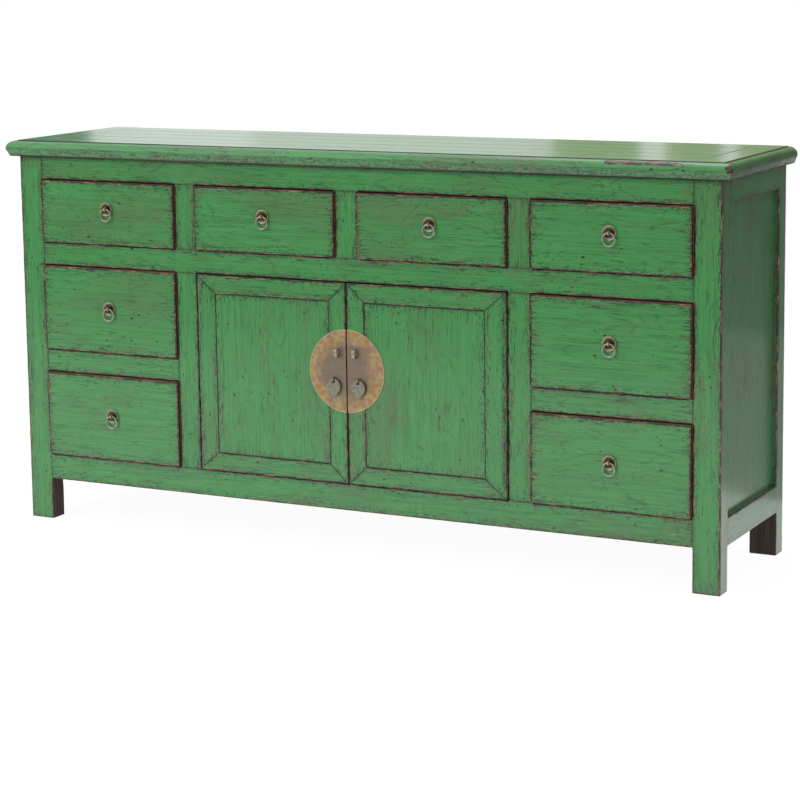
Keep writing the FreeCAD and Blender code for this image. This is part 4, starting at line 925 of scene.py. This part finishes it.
for number in range(1, 9):
    name = f"drawer_{number}"
    low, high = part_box(f"{name}_front")
    shape = newShape()
    slabHigh = Vector((high.x, low.y + frontLook["slab"], high.z))
    arris = frontLook["arris"]
    addBoard(shape, low, slabHigh, 0, nextSeed(), rounds=(frontLook["bottomRadius"], 0.2 * mm, 0.2 * mm, arris),
             endRounds=(arris, arris), endWear=(0.95, 0.95), flatBack=True, step=7 * mm)
    # the ends of each drawer front get the near-black edge wood: painted shade of the gaps beside the front,
    # with dirt
    finishShape(shape, f"{name}_front_face", [lacquer, edgeWood, shadedEdge], name, [f"{name}_front"],
                paintOf=lambda centre, normal: 0 if normal.y < -0.35 else (2 if abs(normal.x) > 0.7 else 1),
                knocks=flaked(number, low, high))
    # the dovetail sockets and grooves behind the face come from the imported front
    work = bmesh.new()
    work.from_mesh(frame["nodes"][f"{name}_front"].data)
    bmesh.ops.remove_doubles(work, verts=work.verts, dist=0.01 * mm)
    everything = work.verts[:] + work.edges[:] + work.faces[:]
    bmesh.ops.bisect_plane(work, geom=everything, plane_co=(0, low.y + frontLook["slab"] - 0.1 * mm, 0),
                           plane_no=(0, 1, 0), clear_inner=True)
    mesh = bpy.data.meshes.new(f"{name}_front_core")
    work.to_mesh(mesh)
    work.free()
    core = addThing(f"{name}_front_core", mesh)
    mesh.materials.clear()
    mesh.materials.append(rawWood)
    addWoodAt(mesh, lambda polygon: woodFrame(0, number * 1.618))
    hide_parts(f"{name}_front")
    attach(core, name)
    # pull: a dished rosette, a split pin and its ring
    eye = jointPlace(f"{name}_ring_hinge")
    shape = newShape()
    addLathe(shape, rosetteProfile(rosetteLook), (eye.x, low.y, eye.z), 1, 48, wobble=rosetteLook["wobble"])
    addCotter(shape, eye, high.y, eyeLook)
    finishShape(shape, f"{name}_pull_dressed", [rosetteBrass], name, [f"{name}_pull"])
    shape = newShape()
    centre = eye - Vector((0, 0, ringLook["radius"] - 0.25 * mm))
    addWire(shape, ringPath(centre, ringLook["radius"] - 0.05 * mm, ringLook["wobble"], number * 3.3),
            (ringLook["wire"], ringLook["wire"]), Vector((0, 1, 0)), centre, closed=True, sides=16)
    finishShape(shape, f"{name}_ring_dressed", [brass], f"{name}_ring", [f"{name}_ring"])
print("drawers built")

# doors

doorLook = {"hingeStile": 48 * mm, "meetingStile": 41 * mm, "rail": 40 * mm, "hingeRound": 7 * mm,
            "arris": 1.2 * mm, "backArris": 0.8 * mm, "mitreRadius": 0.45 * mm, "panelLine": 1.0 * mm,
            "panelSink": 0.4 * mm, "panelThickness": 14 * mm, "panelRadius": 0.6 * mm, "tongue": 6 * mm,
            "pinRadius": 4.5 * mm, "pinLength": 12 * mm}
stapleLook = {"offset": 21.5 * mm, "width": 8 * mm, "reach": 12 * mm, "bar": 3 * mm, "height": 19 * mm,
              "foot": 8 * mm, "bend": 4.5 * mm, "squareness": 0.4}
leafLook = {"radius": 17 * mm, "point": 26.5 * mm, "taper": 1.85, "thickness": 2.4 * mm, "hole": 3.5 * mm,
            "bar": 3.2 * mm, "filedEdge": 0.7 * mm, "dome": 0.7 * mm}


def stileMitre(edge, inward, width):
    # how far a stile's end is cut back, from nothing at its outer edge
    return lambda spot: doorLook["rail"] * min(1, max(0, inward * (abs(spot.x) - edge) / width))


def railMitre(low, width, atBottom):
    # how far a rail's end is cut back, from nothing at its outer edge
    def cut(spot):
        share = (spot.z - low) / doorLook["rail"]
        return width * (share if atBottom else 1 - share)
    return cut


def staplePath(x, middle, loop, behind, look):
    # one half of the bar from its bent foot behind the wood to the loop in front, then the same half mirrored
    high, bend = (look["height"] - look["bar"]) / 2, look["bend"]
    half = [(behind, high + look["foot"] + 1 * mm), (behind, high + 1.2 * mm), (behind - 1.2 * mm, high)]
    half += [(loop + bend, high)]
    half += [(loop + bend * (1 - math.sin(turn)), high - bend * (1 - math.cos(turn)))
             for turn in (0.4, 0.8, 1.2, math.pi / 2)]
    return [(x, y, middle + z) for y, z in half] + [(x, y, middle - z) for y, z in reversed(half)]


def leafOutline(eye, look):
    # half a circle above, and two curved sides that run down to a point
    wide = eye.z + look["bar"] / 2 - look["radius"]
    arc = [(eye.x + look["radius"] * math.sin(turn), wide + look["radius"] * math.cos(turn))
           for turn in [-math.pi / 2 + math.pi * step / 30 for step in range(31)]]
    arc += [(eye.x + look["radius"] * (1 - (step / 14) ** look["taper"]), wide - look["point"] * step / 14)
            for step in range(1, 15)]
    return smoothLoop(arc + [(2 * eye.x - x, z) for x, z in reversed(arc[31:-1])], 110)


plateMiddle = sum(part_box("door_2_plate"), Vector()) / 2
for number, side in ((1, -1), (2, 1)):
    name = f"door_{number}"
    frameBox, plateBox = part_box(f"{name}_frame"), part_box(f"{name}_plate")
    meet, hinge = sorted(abs(corner.x) for corner in frameBox)
    face, woodBack = frameBox[0].y, frameBox[1].y
    z0, z1 = frameBox[0].z + doorLook["pinLength"], frameBox[1].z - doorLook["pinLength"]
    hingeIn, meetIn = hinge - doorLook["hingeStile"], meet + doorLook["meetingStile"]
    tight, arris, backArris = doorLook["mitreRadius"], doorLook["arris"], doorLook["backArris"]
    mitred = {"endRounds": (tight, tight), "endWear": (-1, -1)}
    # stiles: the hinge stile is rounded at its outer front edge, so that it clears the post as it turns
    outer, inner = (1, 0) if side > 0 else (0, 1)
    shape = newShape()
    rounds = [backArris] * 4
    rounds[outer], rounds[inner] = doorLook["hingeRound"], tight
    cut = stileMitre(hinge, -1, doorLook["hingeStile"])
    addBoard(shape, *mirrored((hingeIn, face, z0), (hinge, woodBack, z1), side), 2, nextSeed(), rounds=rounds,
             startCut=cut, endCut=cut, wearShare=0.45, **mitred)
    rounds = [backArris] * 4
    rounds[inner], rounds[outer] = arris, tight
    cut = stileMitre(meet, 1, doorLook["meetingStile"])
    addBoard(shape, *mirrored((meet, face, z0), (meetIn, woodBack, z1), side), 2, nextSeed(), rounds=rounds,
             startCut=cut, endCut=cut, wearShare=0.9, **mitred)
    for low, high, atBottom in ((z0, z0 + doorLook["rail"], True), (z1 - doorLook["rail"], z1, False)):
        rounds = (arris, backArris, backArris, tight) if atBottom else (tight, backArris, backArris, arris)
        cuts = [railMitre(low, doorLook[stile], atBottom) for stile in ("meetingStile", "hingeStile")]
        startCut, endCut = cuts if side > 0 else reversed(cuts)
        addBoard(shape, *mirrored((meet, face, low), (hinge, woodBack, high), side), 0, nextSeed(),
                 rounds=rounds, startCut=startCut, endCut=endCut, wearShare=0.9, **mitred)
    # the rails' tips follow the rounded hinge edge
    curve = doorLook["hingeRound"]
    for index, (x, y, z) in enumerate(shape["points"]):
        past = abs(x) - (hinge - curve)
        if past > 0:
            rounded = face + curve - math.sqrt(max(0, curve * curve - past * past))
            shape["points"][index] = (x, max(y, rounded), z)
    # the wooden pins that the door turns on
    pivot = jointPlace(f"{name}_hinge")
    radius, ease = doorLook["pinRadius"], 0.6 * mm
    for low, high in ((frameBox[0].z, z0 + 1 * mm), (z1 - 1 * mm, frameBox[1].z)):
        profile = [(0.01 * mm, 0, 0), (radius - ease, 0, 0), (radius, ease, 0), (radius, high - low - ease, 0),
                   (radius - ease, high - low, 0), (0.01 * mm, high - low, 0)]
        addLathe(shape, profile, (pivot.x, pivot.y, low), 2, 24, slot=1)
    clear = 1 * mm

    def insidePaint(centre, normal):
        # bare behind, and where the panel's groove is; the groove's faces show in the thin line round the
        # panel, and their near-black wood is painted shade of that gap
        nearPanel = (meetIn - clear < abs(centre.x) < hingeIn + clear and
                     z0 + doorLook["rail"] - clear < centre.z < z1 - doorLook["rail"] + clear)
        return 1 if normal.y > 0.7 or (nearPanel and abs(normal.y) < 0.5) else None

    finishShape(shape, f"{name}_frame_dressed", [lacquer, underside], name, [f"{name}_frame"],
                paintOf=insidePaint)
    # panel: a field with a fine line round it, and the tongue that its grooves hold
    shape = newShape()
    line, tongue = doorLook["panelLine"], doorLook["tongue"]
    panelFace, bottom, top = face + doorLook["panelSink"], z0 + doorLook["rail"], z1 - doorLook["rail"]
    back = panelFace + doorLook["panelThickness"]
    radius = doorLook["panelRadius"]
    addBoard(shape, *mirrored((meetIn + line, panelFace, bottom + line), (hingeIn - line, back, top - line),
                              side), 2, nextSeed(), radius=radius, endRounds=(radius, radius), wearShare=0.55,
             step=10 * mm)
    addBoard(shape, *mirrored((meetIn - tongue, back - tongue, bottom - tongue),
                              (hingeIn + tongue, back - 0.05 * mm, top + tongue), side), 2, nextSeed(),
             radius=0.3 * mm, wearShare=0, step=20 * mm, slot=1)
    finishShape(shape, f"{name}_panel_dressed", [lacquer, underside], name, [f"{name}_panel"],
                paintOf=lambda centre, normal: 1 if normal.y > 0.7 else None)
    # plate: half of a round sheet
    radius, gap = plateLook["radius"], min(abs(corner.x) for corner in plateBox)
    start = math.asin(gap / radius)
    arc = [(side * radius * math.sin(turn), plateMiddle.z + radius * math.cos(turn)) for turn in
           [start + (math.pi - 2 * start) * step / 90 for step in range(91)]]
    place = Vector((0, plateBox[0].y, plateMiddle.z))
    shape = newShape()
    addPlaque(shape, smoothLoop(arc, 220), (side * radius * 0.4, plateMiddle.z), 0.5 * mm, plateBox[0].y,
              plateBox[1].y, 0.7 * mm, 0.0, lambda point: tuple(Vector(point) - place), straight=side * gap)
    finishShape(shape, f"{name}_plate_dressed", [plateBrass], name, [f"{name}_plate"])
    # staple and split pin
    stapleBox = max(solidBoxes(f"{name}_fittings"), key=lambda box: box[1].z)
    stapleZ = (stapleBox[0].z + stapleBox[1].z) / 2
    bar = stapleLook["bar"]
    path = staplePath(side * stapleLook["offset"], stapleZ, plateBox[0].y - stapleLook["reach"] + bar / 2,
                      woodBack + 0.75 * mm, stapleLook)
    shape = newShape()
    addWire(shape, path, (stapleLook["width"] / 2, bar / 2 - 0.05 * mm), Vector((1, 0, 0)), path[7], sides=20,
            power=stapleLook["squareness"])
    eye = jointPlace(f"{name}_leaf_hinge")
    addCotter(shape, eye, woodBack, eyeLook)
    finishShape(shape, f"{name}_fittings_dressed", [brass], name, [f"{name}_fittings"])
    # leaf pull
    half = leafLook["thickness"] / 2
    shape = newShape()
    addPlaque(shape, leafOutline(eye, leafLook), (eye.x, eye.z - leafLook["bar"] / 2 - leafLook["hole"]),
              leafLook["hole"], eye.y - half + 0.4 * mm, eye.y + half, leafLook["filedEdge"], leafLook["dome"],
              lambda point: tuple(Vector(point) - eye), edgeWear=0.7)
    finishShape(shape, f"{name}_leaf_dressed", [leafBrass], f"{name}_leaf", [f"{name}_leaf"])
print("doors built")

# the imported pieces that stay: drawer boxes, runners, partitions and the shelf

insideLook = {"ease": 0.5 * mm, "segments": 2, "angle": math.radians(30)}
for node, thing in frame["nodes"].items():
    if node.endswith("_box") or node in ("partitions", "drawer_runners", "door_shelf"):
        addWoodAt(thing.data, boxFrame(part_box(node)[1]) if node.endswith("_box") else boardFrame(node))
        thing.data.materials.clear()
        thing.data.materials.append(rawWood)
        weld = thing.modifiers.new("joined", "WELD")
        weld.merge_threshold = 0.01 * mm
        ease = thing.modifiers.new("eased", "BEVEL")
        ease.width, ease.segments = insideLook["ease"], insideLook["segments"]
        ease.limit_method, ease.angle_limit = "ANGLE", insideLook["angle"]
print("inside dressed")

# studio: a white sweep and background, a soft key lamp from the front left, a weak fill from the front right
# and a soft lamp above. The panels stand for the rest of the room, and only reflections show them.

stageLook = {
    "floor": "#f4f4f2", "floorReach": 14, "floorGlow": 0.95, "shadowShare": 0.10, "worldLight": 0.55,
    "tones": {"dark": (0.08, 0.08, 0.08), "grey": (0.26, 0.26, 0.26), "pale": (0.78, 0.81, 0.78),
              "shade": (0.10, 0.16, 0.11), "green": (0.32, 0.39, 0.21)},
    "panels": {  # start and end on the floor, lowest, highest, tone
        "studioBehindCamera": ((-9, -2.4), (6, -2.4), 0.01, 3.5, "dark"),
        "studioBehindLeft": ((-14, 6), (-4.9, 6), 0.01, 6, "shade"),
        "studioBehindPale": ((-3.9, 6), (-2.2, 6), 0.01, 6, "pale"),
        "studioBehindA": ((-2.2, 6), (-1.75, 6), 0.01, 6, "green"),
        "studioBehindB": ((-1.62, 6), (-1.34, 6), 0.01, 6, "green"),
        "studioBehindC": ((-1.26, 6), (9, 6), 0.01, 6, "green"),
        "studioRightLow": ((0.93, 0.6), (4, 1.6), 0.01, 0.4, "grey"),
        "studioRight": ((0.93, 0.6), (4, 1.6), 0.4, 3, "dark"),
    },
    "lamps": {  # place, aim, size, power
        "keySoftbox": ((-2.6, -3.8, 3.0), (0, 0, 0.4), 2.4, 95),
        "fillSoftbox": ((3.4, -3.0, 1.6), (0, 0, 0.4), 1.8, 14),
        "topSoftbox": ((0.2, 0.6, 3.4), (0, 0, 0.8), 2.2, 22),
    },
}
white = (1, 1, 1, 1)


def rayMix(tree, plain, seen):
    # one shader for light that bounces, the other for what the camera, reflections and clear things see
    path = addNode(tree, "LightPath", {}).node.outputs
    share = 0.0
    for kind in ("Camera", "Glossy", "Transmission"):
        share = addNode(tree, "Math", {0: path[f"Is {kind} Ray"], 1: share}, operation="MAXIMUM")
    return addNode(tree, "MixShader", {0: share, 1: plain, 2: seen})


def addPanel(name, corners, material):
    mesh = bpy.data.meshes.new(name)
    mesh.from_pydata(corners, [], [(0, 1, 2, 3)])
    mesh.materials.append(material)
    thing = addThing(name, mesh)
    return thing


floorMaterial = bpy.data.materials.new("whiteSweep")
tree = newTree(floorMaterial)
plain = addNode(tree, "BsdfDiffuse", {"Color": toLinear(stageLook["floor"])})
faint = addNode(tree, "BsdfDiffuse", {"Color": (stageLook["shadowShare"],) * 3 + (1,)})
glow = addNode(tree, "Emission", {"Color": white, "Strength": stageLook["floorGlow"]})
seen = addNode(tree, "AddShader", {0: faint, 1: glow})
addNode(tree, "OutputMaterial", {"Surface": rayMix(tree, plain, seen)})
reach = stageLook["floorReach"]
addPanel("floorSweep", [(-reach, -reach, 0), (reach, -reach, 0), (reach, reach, 0), (-reach, reach, 0)],
         floorMaterial)

world = bpy.data.worlds.new("whiteStudio")
bpy.context.scene.world = world
tree = newTree(world)
light = addNode(tree, "Background", {"Color": white, "Strength": stageLook["worldLight"]})
view = addNode(tree, "Background", {"Color": white, "Strength": 1.0})
addNode(tree, "OutputWorld", {"Surface": rayMix(tree, light, view)})

for name, ((x0, y0), (x1, y1), low, high, tone) in stageLook["panels"].items():
    material = bpy.data.materials.new(name)
    tree = newTree(material)
    glow = addNode(tree, "Emission", {"Color": (*stageLook["tones"][tone], 1), "Strength": 1.0})
    addNode(tree, "OutputMaterial", {"Surface": glow})
    panel = addPanel(name, [(x0, y0, low), (x1, y1, low), (x1, y1, high), (x0, y0, high)], material)
    panel.visible_camera = panel.visible_diffuse = panel.visible_shadow = False
for name, (place, aim, size, power) in stageLook["lamps"].items():
    lamp = bpy.data.lights.new(name, "AREA")
    lamp.shape, lamp.size, lamp.energy = "SQUARE", size, power
    thing = addThing(name, lamp)
    thing.location = place
    thing.rotation_euler = (Vector(aim) - Vector(place)).to_track_quat("-Z", "Y").to_euler()

# camera, from the photo's perspective

cameraLook = {"focal": 2393.13, "pixels": 800, "horizon": -0.12, "eye": (2.41680, -4.46462, 1.31811),
              "tilt": 8.62729511, "turn": 27.15044828, "roll": -0.73598289}
camera = bpy.data.cameras.new("photoCamera")
camera.sensor_width = 36
camera.lens = cameraLook["focal"] / cameraLook["pixels"] * camera.sensor_width
camera.shift_y = cameraLook["horizon"]
turn, tilt, roll = (Matrix.Rotation(math.radians(cameraLook[key]), 3, axis)
                    for key, axis in (("turn", "Y"), ("tilt", "X"), ("roll", "Z")))
rows = roll @ tilt @ turn @ Matrix(((1, 0, 0), (0, 0, -1), (0, 1, 0)))
pose = Matrix((rows[0], -rows[1], -rows[2])).transposed().to_4x4()
pose.translation = Vector(cameraLook["eye"]) + Vector((0, frontFace, 0))
cameraThing = addThing("photoCamera", camera)
cameraThing.matrix_world = pose
bpy.context.scene.camera = cameraThing
bpy.context.scene.view_settings.view_transform = "Standard"
print("stage set")
